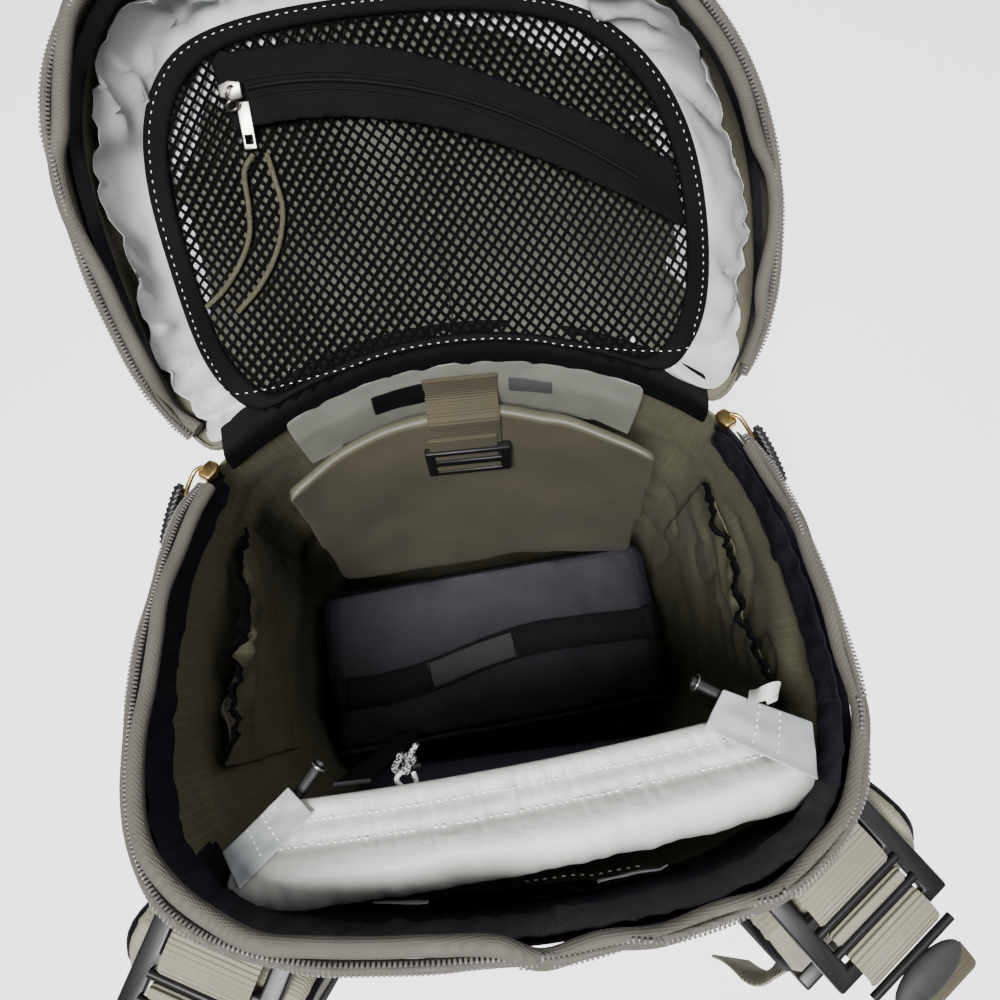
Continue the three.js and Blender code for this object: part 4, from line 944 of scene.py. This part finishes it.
divider = sewn(
    "front_divider", "front_divider_pad", divider_cloth, "tan_fabric", divider_sag, UPRIGHT,
    slices("z", (0.4375, 0.434, 0.425, 0.41, 0.36, 0.33, 0.24)),
)

# Hanger web and ladder buckle
# Brown-olive ribbed webbing sewn to the collar hangs over the divider's top edge, to hold up a water
# bladder. It passes through a black ladder buckle and its tail is folded back behind.
web_ribbed = woven(
    "web_ribbed", (0.062, 0.052, 0.030), 0.75, 0.0018, 0.0004, spread=0.12, ribs=True, sheen=0.03,
)
web_khaki = woven(
    "web_khaki", (0.215, 0.198, 0.148), 0.75, 0.0018, 0.0007, spread=0.1, ribs=True, sheen=0.03,
)
black_plastic = new_material("black_plastic", 0.38, specular=0.3)
uneven_colour(black_plastic, (0.007, 0.007, 0.007), 0.25, 240)
WEB_SECTION = (
    (-0.5, 0.2), (-0.5, -0.2), (-0.46, -0.5), (0, -0.5), (0.46, -0.5),
    (0.5, -0.2), (0.5, 0.2), (0.46, 0.5), (0, 0.5), (-0.46, 0.5),
)


def tube_faces(rings, sides):
    """The faces of a tube of rings with a point at each side, and its two flat ends"""
    faces = [
        (i * sides + j, i * sides + (j + 1) % sides, (i + 1) * sides + (j + 1) % sides, (i + 1) * sides + j)
        for i in range(rings - 1) for j in range(sides)
    ]
    return faces + [tuple(reversed(range(sides))), tuple(range((rings - 1) * sides, rings * sides))]


def turned_out(obj):
    """Turns all faces of a closed piece outward and shades it smooth"""
    only(obj)
    bpy.ops.object.mode_set(mode="EDIT")
    bpy.ops.mesh.select_all(action="SELECT")
    bpy.ops.mesh.normals_make_consistent(inside=False)
    bpy.ops.object.mode_set(mode="OBJECT")
    bpy.ops.object.shade_smooth_by_angle(angle=1.0)


def webbing(piece, route, across, width, wall, material, slot, *nodes, samples=60):
    """Flat webbing or foam strip along a smooth route, round at its edges, its width along across"""
    points = spline(route, samples)
    vertices, lengths, total = [], [], 0
    for i, point in enumerate(points):
        tangent = (points[min(i + 1, samples - 1)] - points[max(i - 1, 0)]).normalized()
        side = Vector(across)
        side = (side - tangent * side.dot(tangent)).normalized()
        lift = tangent.cross(side)
        total += (point - points[i - 1]).length if i else 0
        lengths.append(total)
        vertices += [point + side * (a * width) + lift * (b * wall) for a, b in WEB_SECTION]
    n = len(WEB_SECTION)
    obj = add_mesh(piece, vertices, tube_faces(samples, n))
    layer = obj.data.uv_layers.new(name="cloth")
    for corner in obj.data.loops:
        ring, step = divmod(corner.vertex_index, n)
        layer.data[corner.index].uv = (WEB_SECTION[step][0] * width, lengths[ring])
    turned_out(obj)
    return dress(obj, material, slot, *nodes)


webbing(
    "hanger_ribbed_web",
    [(-0.002, 0.1180, 0.4620), (-0.002, 0.1150, 0.4490), (-0.002, 0.1085, 0.4445), (-0.002, 0.1015, 0.4432),
     (-0.002, 0.0998, 0.4340), (-0.002, 0.0940, 0.4000), (-0.002, 0.0920, 0.3880)],
    (1, 0, 0), 0.038, 0.0019, web_ribbed, "khaki_webbing", "hanger_web",
)
webbing(
    "hanger_web_tail",
    [(-0.004, 0.0968, 0.4285), (-0.004, 0.0935, 0.4100), (-0.003, 0.0905, 0.3960), (-0.002, 0.0893, 0.3905)],
    (1, 0, 0), 0.0375, 0.0019, web_ribbed, "khaki_webbing", samples=24,
)
buckle = bevelled(copy_of("hanger_buckle", "hanger_ladder_buckle"), 0.0011)
dress(buckle, black_plastic, "black_plastic", "hanger_buckle")

# Side pockets
# A flat olive ripstop pocket on each side wall, its mouth gathered by a soft black elastic binding that
# stands off the wall in waves.
def pocket_gape(point):
    """Cloth of a side pocket, which stands off the wall most at the middle of its mouth"""
    reach = min(1, max(0, 1 - abs(point.y - 0.004) / 0.074))
    top = 0.462 - 0.42 * (point.y + 0.06) * 0.9
    down = min(1, max(0, (top - point.z) / 0.19))
    near = (1 - down) ** 2
    left = 1.6 if point.x < 0 else 1.0
    loose = noise.noise(Vector((point.y * 22, point.z * 16, point.x * 40)))
    wave = gathered(point, 0.0090 * left, 0.024) + 0.006 * left * loose
    return crumpled(point) - outward(point) * (reach ** 0.7 * near * (0.0085 * left + wave) + 0.0006)


def elastic_gape(point):
    """The binding of a side pocket's mouth, gathered more finely than its cloth"""
    return pocket_gape(point) - outward(point) * (0.0006 + 2.2 * abs(gathered(point, 0.0022, 0.0055)))


for side in ("right", "left"):
    pocket = sewn(
        f"side_pocket_{side}", f"side_pocket_{side}_cloth", olive_ripstop, "olive_lining", pocket_gape,
        cuts=slices("z", np.linspace(0.24, 0.43, 9)),
    )
    name = f"side_pocket_elastic_{side}"
    sewn(name, f"side_pocket_{side}_elastic", black_cloth, "black_fabric", elastic_gape, levels=3)

# Camera insert
# A padded box of charcoal-navy ripstop that fills the foot of the pack. Its edges are piped, its top is
# crowned, a door closes its back, and a black web lies across the top with a bare patch sewn on it.
INSERT_TURN = math.radians(4)
INSERT_HALF_X = 0.136
INSERT_HALF_Y = 0.066
INSERT_TOP = 0.1934
DOWN = Vector((0, 0, -1))
insert_cloth = woven(
    "insert_cloth", (0.026, 0.0255, 0.034), 0.55, 0.0007, 0.00014, grid=0.0052, spread=0.12, sheen=0.0,
)


def insert_point(x, y, z):
    turned = Matrix.Rotation(INSERT_TURN, 3, "Z") @ Vector((x, y, 0))
    return Vector((turned.x - 0.001, turned.y - 0.008, z))


def insert_crown(x):
    return INSERT_TOP + 0.009 * max(0, 1 - (x / INSERT_HALF_X) ** 2)


def insert_folds(point):
    local = Matrix.Rotation(-INSERT_TURN, 3, "Z") @ Vector((point.x + 0.001, point.y + 0.008, 0))
    swell = max(0, 1 - (local.x / 0.134) ** 2) * max(0, 1 - (local.y / 0.064) ** 2)
    crease = noise.noise(Vector((local.x * 24, local.y * 34, point.z * 24)))
    high = 0.4 * noise.noise(Vector((local.x * 60, local.y * 70, point.z * 60)))
    top = min(1, max(0, (point.z - 0.17) / 0.02))
    return point + Vector((0, 0, top * (0.0022 * swell ** 0.5 + 0.0022 * (crease + high))))


cuts = slices("x", np.linspace(-0.12, 0.12, 14)) + slices("y", np.linspace(-0.06, 0.05, 7))
for name, piece in (("insert_case", "insert_padded_case"), ("insert_door", "insert_padded_door")):
    pad = sewn(name, piece, insert_cloth, "black_fabric", insert_folds, ((1, 0, 0.2), (0, 1, 0.8)), cuts)
insert_surface = [catcher(bpy.data.objects[n]) for n in ("insert_padded_case", "insert_padded_door")]


def on_insert(x, y, lift):
    """The place above the insert's top at its own x and y"""
    start = insert_point(x, y, 0.3)
    hits = [struck(surface, start, DOWN) for surface in insert_surface]
    best = max((h.z for h in hits if h is not None), default=INSERT_TOP)
    return Vector((start.x, start.y, best + lift))


for number, y, radius in (
    (1, INSERT_HALF_Y - 0.0035, 0.0015),
    (2, -INSERT_HALF_Y + 0.0095, 0.0011),
    (3, -INSERT_HALF_Y + 0.0035, 0.0015),
):
    edge = [on_insert(x, y, 0.0004) for x in np.linspace(-0.124, 0.124, 60)]
    piping(f"insert_piping_{number}", edge, radius, black_cloth, "black_fabric")

insert_across = insert_point(0, 1, 0) - insert_point(0, 0, 0)
black_web = woven(
    "black_web", (0.009, 0.009, 0.011), 0.6, 0.0014, 0.0003, ribs=True, sheen=0.0, specular=0.2,
)


def over_insert(places, lift=0.0):
    """A route over the insert's crown, from each place's x, y and height above the crown"""
    return [insert_point(x, y, insert_crown(x) + lift + rise) for x, y, rise in places]


strap_route = over_insert(
    ((-0.120, -0.0155, 0.0012), (-0.09, -0.0165, 0.0030), (-0.05, -0.0125, 0.0052), (-0.01, -0.0040, 0.0062),
     (0.03, 0.0015, 0.0060), (0.07, 0.0010, 0.0050), (0.10, -0.0005, 0.0030), (0.122, -0.0010, 0.0012)),
    lift=0.0022,
)
webbing("insert_web", strap_route, insert_across, 0.024, 0.0018, black_web, "black_fabric", "insert_strap")
patch_route = over_insert(
    ((-0.052, -0.0128, 0.0085), (-0.03, -0.0082, 0.0093), (-0.01, -0.004, 0.0097), (0.016, 0.0, 0.0096)),
)
webbing(
    "insert_bare_patch", patch_route, insert_across, 0.021, 0.0010, patch_grey, "black_fabric",
    "insert_patch", samples=24,
)
far_edge, near_edge = (
    [p + insert_across * (sign * 0.0100) + Vector((0, 0, 0.0008)) for p in spline(patch_route, 24)]
    for sign in (1, -1)
)
piping("insert_patch_frame", far_edge + near_edge[::-1], 0.0005, black_web, "black_fabric", cyclic=True)
for side, sign, y in (("right", 1, -0.0010), ("left", -1, -0.0155)):
    route = over_insert(
        (sign * x, y, rise) for x, rise in
        ((0.1225, 0.0030), (0.1265, 0.0046), (0.1310, 0.0034), (0.1345, -0.0004), (0.1375, -0.0080))
    )
    webbing(
        f"insert_web_tab_{side}", route, insert_across, 0.027, 0.0024, black_web, "black_fabric",
        f"insert_tab_{side}", samples=24,
    )

# Sleeve at the back wall
# A document sleeve whose top is white coated nylon: a padded roll beside the back wall, then a flat
# band with two rows of stitching. Its front panel is navy ripstop and hangs down behind the insert.
NYLON_COLOUR = (0.60, 0.585, 0.55)
white_nylon = woven("white_nylon", NYLON_COLOUR, 0.36, 0.0006, 0.00010, spread=0.09, specular=0.5)
grey_film = woven("grey_film", (0.40, 0.42, 0.43), 0.34, 0.0006, 0.00006, spread=0.08, specular=0.5)
sleeve_mesh = woven("sleeve_mesh", (0.018, 0.026, 0.062), 0.6, 0.0011, 0.0003, grid=0.0033, spread=0.2)
SLEEVE_TURN = math.radians(4.6)
# The section of the sleeve's top, over it from front to back and back under it, as y and z
SLEEVE_PROFILE = [
    (-0.0652, 0.4975), (-0.0680, 0.5008), (-0.0728, 0.5016), (-0.0770, 0.5050), (-0.0812, 0.5062),
    (-0.0845, 0.5118), (-0.0890, 0.5158), (-0.0950, 0.5155), (-0.1005, 0.5112), (-0.1045, 0.5035),
    (-0.1043, 0.4950), (-0.1000, 0.4890), (-0.0920, 0.4862), (-0.0830, 0.4880), (-0.0740, 0.4930),
    (-0.0660, 0.4945),
]
SLEEVE_ROWS = (-0.0728, -0.0812)
SLEEVE_RINGS = 241
SLEEVE_STEPS = 72


def sleeve_at(x, y, z):
    turned = Matrix.Rotation(SLEEVE_TURN, 3, "Z") @ Vector((x, y + 0.090, 0))
    return Vector((turned.x + 0.008, turned.y - 0.090, z))


def sleeve_bow(x):
    return 0.0035 * (x / 0.1) ** 2


closed = SLEEVE_PROFILE + [SLEEVE_PROFILE[0]]
around = spline([(0, y, z) for y, z in closed], SLEEVE_STEPS + 1)[:-1]


def sleeve_surface(share, step):
    """A place on the sleeve's top: share runs -1 to 1 along it, step 0 to 71 round its section"""
    section = around[step]
    half = np.interp(section.y, [-0.104, -0.089, -0.0812, -0.065], [0.1165, 0.113, 0.104, 0.088])
    full = 0.62 + 0.38 * min(1, (1 - abs(share)) / 0.10) ** 0.5
    y = -0.084 + (section.y + 0.084) * (full if section.y < -0.084 else 1)
    z = 0.500 + (section.z - 0.500) * (full if section.z > 0.500 else 1)
    x = share * half
    top = section.z > 0.4975
    near_row = min(abs(section.y - row) for row in SLEEVE_ROWS) if top else 1
    pucker = math.exp(-(near_row / 0.004) ** 2) if section.y > -0.090 else 0
    fine = noise.noise(Vector((x * 330, section.y * 60, 3)))
    fine += 0.5 * noise.noise(Vector((x * 620, section.y * 90, 8)))
    lump = noise.noise(Vector((x * 26, section.y * 50, section.z * 50)))
    ends = max(0, abs(share) - 0.82) / 0.18
    drawn = ends * noise.noise(Vector((x * 45, section.y * 110, 5)))
    rise = 0.0019 * pucker * fine + 0.0015 * lump + 0.0024 * drawn
    if section.y < -0.0845:
        tuck = noise.noise(Vector((x * 75, 0, section.z * 30)))
        tuck += 0.5 * noise.noise(Vector((x * 170, 4, section.z * 60)))
        rise += 0.0008 * tuck
        y -= 0.0009 * tuck
    return sleeve_at(x, y + sleeve_bow(x), z + rise if top else z)


shares = [-1 + 2 * i / (SLEEVE_RINGS - 1) for i in range(SLEEVE_RINGS)]
vertices = [sleeve_surface(share, step) for share in shares for step in range(SLEEVE_STEPS)]
sleeve = add_mesh("sleeve_padded_top", vertices, tube_faces(SLEEVE_RINGS, SLEEVE_STEPS))
turned_out(sleeve)
flat_uv(sleeve, (1, 0, 0), (0, 1, 0.6))
dress(sleeve, white_nylon, "white_nylon", "sleeve_top")
sleeve_catcher = catcher(sleeve)
for number, y, half in ((1, SLEEVE_ROWS[0], 0.090), (2, SLEEVE_ROWS[1], 0.100)):
    line = []
    for x in np.linspace(-half, half, 60):
        found = struck(sleeve_catcher, sleeve_at(x, y + sleeve_bow(x), 0.6), DOWN)
        if found:
            line.append(found + Vector((0, 0, 0.0001)))
    stitches(f"sleeve_stitches_{number}", line, (0, 0, 1), white_thread, "white_nylon")


def panel_hang(point):
    """The panel hangs from the back edge of the sleeve's top, a little uneven"""
    back = -0.0125 * min(1, max(0, point.z - 0.3) / 0.18)
    return point + Vector((0, back + 0.0012 * noise.noise(point * 18), 0))


panel = sewn(
    "sleeve_panel", "sleeve_front_panel", sleeve_mesh, "navy_tape", panel_hang,
    ((0.7, 0, 0.7), (0.7, 0, -0.7)), slices("z", np.linspace(0.05, 0.48, 12)), levels=1,
)

# Grey film tabs that stretch the sleeve's ends to its two stay rods, hemmed along their lower edge
for side, near, far, seed in (
    ("right", ((0.0950, -0.0440, 0.4985), (0.1270, -0.0600, 0.5040)),
     ((0.0830, -0.0580, 0.5045), (0.1200, -0.0800, 0.5180)), 1.0),
    ("left", ((-0.0850, -0.0640, 0.4990), (-0.1100, -0.0850, 0.5050)),
     ((-0.0740, -0.0745, 0.5050), (-0.0990, -0.0960, 0.5190)), 4.0),
):
    rows = []
    for v in np.linspace(0, 1, 18):
        left = Vector(near[0]).lerp(Vector(far[0]), v)
        right = Vector(near[1]).lerp(Vector(far[1]), v)
        row = []
        for u in np.linspace(0, 1, 24):
            point = left.lerp(right, u)
            wave = noise.noise(Vector((u * 5, v * 3, seed)))
            sag = -0.002 * math.sin(math.pi * u) * (1 - v)
            row.append(point + Vector((0, 0, 0.0013 * wave + sag)))
        rows.append(row)
    cloth_grid(
        f"sleeve_film_tab_{side}", rows, grey_film, "grey_lining", 0.0007, f"sleeve_tab_{side}",
        along=(0, 1, 0),
    )
    for number, share in ((1, 15), (2, 10)):
        hem = [rows[i][share] + Vector((0, 0, 0.0005)) for i in range(1, 17)]
        name = f"sleeve_tab_stitches_{side}_{number}"
        stitches(name, hem, (0, 0, 1), white_thread, "white_nylon", pitch=0.0026)

# The bound mouth of the flat slot in the back wall, laid on the wall's inside: a lens of black cloth, its
# black both the binding and painted shade in the open slot, with pale grey pieces inside it that are painted
# highlights on the slot's lining
SLOT_MIDDLE = Vector((0.007, 0, 0.497))
SLOT_HALF = 0.080


def slot_place(x, share, lift, open_by=0.0065):
    """A place in the slot's lens on the inside of the back wall, share -1 at its lower edge to 1"""
    gape = open_by * max(0, 1 - ((x - SLOT_MIDDLE.x) / SLOT_HALF) ** 2) + 0.0004
    z = SLOT_MIDDLE.z + share * gape
    wall = on_bag(x, -0.112, z)
    return wall - outward(wall) * (0.0052 + lift)


mouth_shares = np.linspace(-1, 1, 9)
lining_glint_shares = np.linspace(-0.15, 0.35, 7)
for piece, first, last, shares, lift, open_by, material, slot in (
    # Black lens: the slot's binding, and painted shade where the slot stands open
    ("slot_mouth", -0.073, 0.087, mouth_shares, 0.0, 0.0075, black_cloth, "black_fabric"),
    # Pale grey pieces only where the lining inside catches light: painted highlights
    ("slot_lining_right", 0.042, 0.080, lining_glint_shares, 0.0010, 0.0110, grey_film, "grey_lining"),
    ("slot_lining_left", -0.068, -0.040, lining_glint_shares, 0.0010, 0.0090, grey_film, "grey_lining"),
):
    rows = []
    for v in shares:
        row = []
        for x in np.linspace(first, last, 60):
            uneven = 0.0005 * noise.noise(Vector((x * 90, v * 2, 3)))
            row.append(slot_place(x, v, lift + uneven, open_by))
        rows.append(row)
    cloth_grid(piece, rows, material, slot, 0.0008, along=(0, 0, 1))
hem = [slot_place(x, -1, 0.0016) - Vector((0, 0, 0.0035)) for x in np.linspace(0.008, 0.070, 30)]
stitches("slot_stitches", hem, (0, 1, 0), white_thread, "white_nylon", pitch=0.0034)

# Stay rods, ring, knot and ribbon
# Two short black knurled rods stiffen the sleeve's front corners, each with a steel ring at its tip.
# A flecked cord knot with a white hook hangs on the sleeve's panel, with a white ribbon loop at the right.
knurled = new_material("knurled_plastic", 0.45)
uneven_colour(knurled, (0.016, 0.016, 0.017), 0.3, 400)
steel = new_material("plated_steel_ring", 0.25, metallic=1.0)
uneven_colour(steel, (0.42, 0.42, 0.41), 0.15, 300)
ROD_RADIUS = 0.0026
for side, foot, tip in (
    ("right", (0.1010, -0.0505, 0.4930), (0.0835, -0.0395, 0.4935)),
    ("left", (-0.0870, -0.0730, 0.4930), (-0.0725, -0.0560, 0.4935)),
):
    foot, tip = Vector(foot), Vector(tip)
    axis = (tip - foot).normalized()
    beads = [foot.lerp(tip, t) for t in np.linspace(0, 1, 60)]
    rod = webbing(
        f"stay_rod_{side}_knurled", beads[::12] + [tip], axis.cross(Vector((0, 0, 1))), ROD_RADIUS * 2,
        ROD_RADIUS * 2, knurled, "black_plastic", f"stay_rod_{side}", samples=90,
    )

    def knurl(point):
        share = (point - foot).dot(axis)
        line = foot + axis * share
        away = point - line
        if away.length < 1e-6:
            return point
        return line + away.normalized() * ROD_RADIUS * (0.9 + 0.1 * math.sin(share * 7000))

    reshape(rod, knurl)
    turn = axis.to_track_quat("Z", "Y").to_euler()
    ring = wire_ring(f"stay_rod_{side}_ring", tip - axis * 0.0022, turn, ROD_RADIUS + 0.0010, 40, 10)
    flat_uv(ring, (1, 0, 0), (0, 1, 0))
    dress(ring, steel, "steel", f"stay_ring_{side}")

flecked = new_material("flecked_braid", 0.7)
flecks = uneven_colour(flecked, (0.02, 0.02, 0.02), 0.4, 900)
flecks.color_ramp.elements[0].position = 0.47
flecks.color_ramp.elements[1].position = 0.56
flecks.color_ramp.elements[1].color = (0.40, 0.40, 0.38, 1)
KNOT = Vector((-0.0400, -0.0610, 0.482))
turns = []
for a in np.linspace(0, 12.5, 60):
    wound = Vector((0.0032 * math.cos(a), 0.0032 * math.sin(a), 0.0062 * a / 12))
    turns.append(KNOT + wound + Vector((0.001 * math.sin(3 * a), 0, 0)))
piping("knot_turns", turns, 0.0014, flecked, "black_fabric")
for piece, samples, radius, material, slot, shape in (
    ("knot_end", 16, 0.0013, flecked, "black_fabric",
     ((0.002, 0.001, 0.006), (0.004, 0.004, 0.010), (0.007, 0.008, 0.011))),
    ("knot_hook", 30, 0.0011, white_thread, "white_nylon",
     ((0.0, -0.002, 0.004), (-0.003, -0.006, 0.007), (0.001, -0.0095, 0.008), (0.005, -0.008, 0.007),
      (0.004, -0.004, 0.005))),
    ("knot_leader", 20, 0.0012, flecked, "black_fabric",
     ((0.0, -0.001, 0.001), (-0.001, -0.0035, -0.012), (0.001, -0.0060, -0.04))),
):
    piping(piece, spline([KNOT + Vector(v) for v in shape], samples), radius, material, slot)
webbing(
    "ribbon_loop",
    [(0.1040, -0.0480, 0.5020), (0.1060, -0.0470, 0.5110), (0.1120, -0.0450, 0.5130),
     (0.1140, -0.0470, 0.5070), (0.1100, -0.0490, 0.5030)],
    (0.4, 1, 0.2), 0.0055, 0.0006, white_nylon, "white_nylon", samples=40,
)
webbing(
    "panel_web",
    [(-0.0620, -0.0665, 0.4860), (-0.0620, -0.0655, 0.45), (-0.0620, -0.0630, 0.36),
     (-0.0620, -0.0600, 0.28)],
    (1, 0, 0), 0.016, 0.0016, black_web, "black_fabric", samples=30,
)

# Main zip's sliders
# Brass sliders rest at both ends of the mouth, each with a small pull and a black moulded grip that
# hangs outside the wall.
brass = new_material("aged_brass", 0.32, metallic=1.0)
uneven_colour(brass, (0.46, 0.33, 0.14), 0.3, 260)


def middle_of(obj):
    """The mean of a piece's points"""
    return sum((v.co for v in obj.data.vertices), Vector()) / len(obj.data.vertices)


def grip_ribs(point):
    """Fine ribs on the grip, which hangs clear of the wall"""
    return point + outward(point) * (0.0045 + 0.0006 * math.sin(point.y * 2600)) + Vector((0, 0, 0.005))


for side, sign in (("right", 1), ("left", -1)):
    slider = bevelled(copy_of(f"main_slider_{side}", f"main_slider_{side}_body"), 0.0012)
    dress(slider, brass, "brass", f"main_slider_{side}")
    middle = middle_of(slider)
    loop = [
        middle + Vector((sign * x, y, z)) for x, y, z in
        ((0.0010, 0.001, 0.0050), (0.0045, -0.001, 0.0058), (0.0080, -0.006, 0.0040), (0.0110, -0.011, 0.0010))
    ]
    piping(f"main_slider_{side}_pull", spline(loop, 24), 0.0011, brass, "brass")
    name = f"main_grip_{side}"
    laid = ((0, 1, 0), (0, 0, 1))
    sewn(name, f"{name}_moulded", black_plastic, "black_plastic", grip_ribs, laid, levels=3)

# Back panel and hip belt
# A padded panel of black air mesh on the back wall, moulded with air channels, and a padded wing of the
# hip belt on each side. The photo doesn't show them, so they are kept plain.
air_mesh = woven("air_mesh", (0.018, 0.018, 0.019), 0.85, 0.0026, 0.0007, spread=0.15)
channel_cuts = slices("z", np.linspace(0.075, 0.41, 24)) + slices("x", np.linspace(-0.07, 0.07, 14))


def channels(point):
    across = math.exp(-(((point.z - 0.06) % 0.09 - 0.045) / 0.007) ** 2)
    down = math.exp(-(point.x / 0.010) ** 2)
    inside = min(1, max(0, 0.075 - abs(point.x)) / 0.01) * (1 if point.y < -0.118 else 0)
    return point + Vector((0, 0.0055 * inside * max(across, down), 0))


def wing_swell(point):
    return point + outward(point) * (0.0012 * noise.noise(point * 22) + 0.0006 * noise.noise(point * 70))


back = sewn("back_panel", "back_panel_pad", air_mesh, "black_fabric", channels, UPRIGHT, channel_cuts)
for side in ("right", "left"):
    name = f"hip_belt_{side}"
    wing = sewn(name, f"{name}_wing", black_cloth, "black_fabric", wing_swell, levels=3)

# Shoulder straps and their lifters
# Curved foam straps in khaki cloth with black edge piping. A big black ladder lock sits on the crest of
# each, with ribbed khaki webbing in three runs, a grey oval boss and a hanging brown tail.
strap_cloth = woven("strap_cloth", (0.215, 0.202, 0.150), 0.72, 0.0010, 0.00025, spread=0.1)
boss_grey = new_material("boss_grey", 0.6, specular=0.2)
uneven_colour(boss_grey, (0.030, 0.030, 0.030), 0.15, 200)
STRAP_WIDTH = 0.072
STRAP_WALL = 0.011
# Each strap's middle line, its directions across and outward, the crest it hangs from, its lower web
STRAPS = {
    "right": (
        [(0.0997, -0.1123, 0.4468), (0.1171, -0.1061, 0.4731), (0.1252, -0.1177, 0.4995),
         (0.1363, -0.1331, 0.4806), (0.1422, -0.1410, 0.4464), (0.1458, -0.1457, 0.4106),
         (0.1481, -0.1486, 0.3743), (0.1494, -0.1499, 0.3379), (0.1494, -0.1495, 0.3014),
         (0.1481, -0.1472, 0.2651), (0.1449, -0.1424, 0.2293), (0.1404, -0.1356, 0.1935)],
        Vector((0.815, 0.580, 0)), Vector((0.580, -0.815, 0)), Vector((0.1120, -0.0990, 0)),
        [(0.1402, -0.1352, 0.2060), (0.1394, -0.1339, 0.1762), (0.1290, -0.1190, 0.1290),
         (0.1175, -0.1025, 0.0827), (0.1178, -0.1026, 0.0580)],
    ),
    "left": (
        [(-0.1207, -0.0991, 0.4467), (-0.1068, -0.1120, 0.4730), (-0.1131, -0.1248, 0.4995),
         (-0.1217, -0.1416, 0.4807), (-0.1263, -0.1501, 0.4465), (-0.1291, -0.1549, 0.4106),
         (-0.1309, -0.1578, 0.3742), (-0.1318, -0.1591, 0.3378), (-0.1318, -0.1584, 0.3013),
         (-0.1308, -0.1558, 0.2650), (-0.1283, -0.1503, 0.2293), (-0.1249, -0.1427, 0.1935)],
        Vector((0.892, -0.452, 0)), Vector((-0.452, -0.892, 0)), Vector((-0.1035, -0.1060, 0)),
        [(-0.1247, -0.1424, 0.2060), (-0.1240, -0.1408, 0.1762), (-0.1155, -0.1230, 0.1290),
         (-0.1070, -0.1061, 0.0827), (-0.1073, -0.1061, 0.0580)],
    ),
}
for side, (route, across, out, crest, lower) in STRAPS.items():
    strap = f"shoulder_strap_{side}"
    foam = webbing(
        f"{strap}_foam", route, across, STRAP_WIDTH, STRAP_WALL, strap_cloth, "khaki_webbing", strap,
        samples=110,
    )
    modify(foam, "BEVEL", width=0.002, segments=2, limit_method="ANGLE")
    line = spline(route, 110)
    for number, sign in ((1, 1), (2, -1)):
        edge = [p + across * (sign * (STRAP_WIDTH / 2 - 0.0006)) for p in line]
        piping(f"{strap}_piping_{number}", edge, 0.0030, black_cloth, "black_fabric")
        row = [p + across * (sign * (STRAP_WIDTH / 2 - 0.0075)) for p in line[14:]]
        outer = [p + out * (STRAP_WALL / 2 + 0.0001) for p in row]
        name = f"{strap}_stitches_{number}"
        stitches(name, outer, out, seam_tape, "black_fabric", pitch=0.0036, radius=0.0003)
    lock = copy_of(f"lifter_buckle_{side}", f"lifter_lock_{side}")
    heart = middle_of(lock)

    def broad_rails(point):
        over = (point - heart).dot(across)
        return point + across * math.copysign(0.0035, over) if abs(over) > 0.0235 else point

    reshape(lock, broad_rails)
    dress(bevelled(lock, 0.0013), black_plastic, "black_plastic", f"lifter_buckle_{side}")

    def along(distance, height):
        place = crest + out * distance
        return (place.x, place.y, height)

    for number, run in (
        (1, ((0.000, 0.5100), (0.006, 0.5140), (0.016, 0.5165), (0.0250, 0.5145), (0.0275, 0.5085))),
        (2, ((0.0300, 0.5085), (0.0320, 0.5140), (0.0345, 0.5140), (0.0365, 0.5085))),
        (3, ((0.0390, 0.5085), (0.0410, 0.5140), (0.0470, 0.5155), (0.0520, 0.5130), (0.0545, 0.5085))),
    ):
        nodes = [f"lifter_web_{side}"] if number == 1 else []
        webbing(
            f"lifter_run_{side}_{number}", [along(*place) for place in run], across, 0.036, 0.0018,
            web_khaki, "khaki_webbing", *nodes, samples=36,
        )
    tail = ((0.0640, 0.5120), (0.0745, 0.5080), (0.0800, 0.4950), (0.0810, 0.4800))
    webbing(
        f"lifter_tail_{side}", [along(*place) for place in tail], across, 0.034, 0.0018, web_ribbed,
        "khaki_webbing", samples=40,
    )
    for number, distance in ((1, 0.0287), (2, 0.0378), (3, 0.0560)):
        ends = [Vector(along(distance, 0.5120)) + across * e for e in (-0.021, 0, 0.021)]
        piping(f"lifter_bar_{side}_{number}", spline(ends, 8), 0.0017, black_plastic, "black_plastic")
    bpy.ops.mesh.primitive_uv_sphere_add(segments=40, ring_count=20, radius=1, location=along(0.0635, 0.5125))
    boss = bpy.context.object
    boss.name = f"lifter_boss_{side}"
    boss.scale = (0.0165, 0.0062, 0.0034)
    boss.rotation_euler = (0, 0, math.atan2(across.y, across.x))
    bpy.ops.object.transform_apply(location=True, rotation=True, scale=True)
    bpy.ops.object.shade_smooth()
    flat_uv(boss, (1, 0, 0), (0, 1, 0))
    dress(boss, boss_grey, "black_plastic")
    webbing(
        f"strap_lower_web_{side}", lower, across, 0.025, 0.0018, web_khaki, "khaki_webbing",
        f"strap_web_{side}", samples=60,
    )

webbing(
    "chest_strap_web",
    [(0.1306, -0.1559, 0.4491), (0.1230, -0.1615, 0.4490), (0.1140, -0.1680, 0.4450),
     (0.1079, -0.1730, 0.4360), (0.1027, -0.1764, 0.4053)],
    (0.13, -0.18, -0.97), 0.020, 0.0016, web_khaki, "khaki_webbing", "chest_web", samples=50,
)
clip = bevelled(copy_of("chest_clip", "chest_strap_clip"), 0.0012)
dress(clip, black_plastic, "black_plastic", "chest_clip")
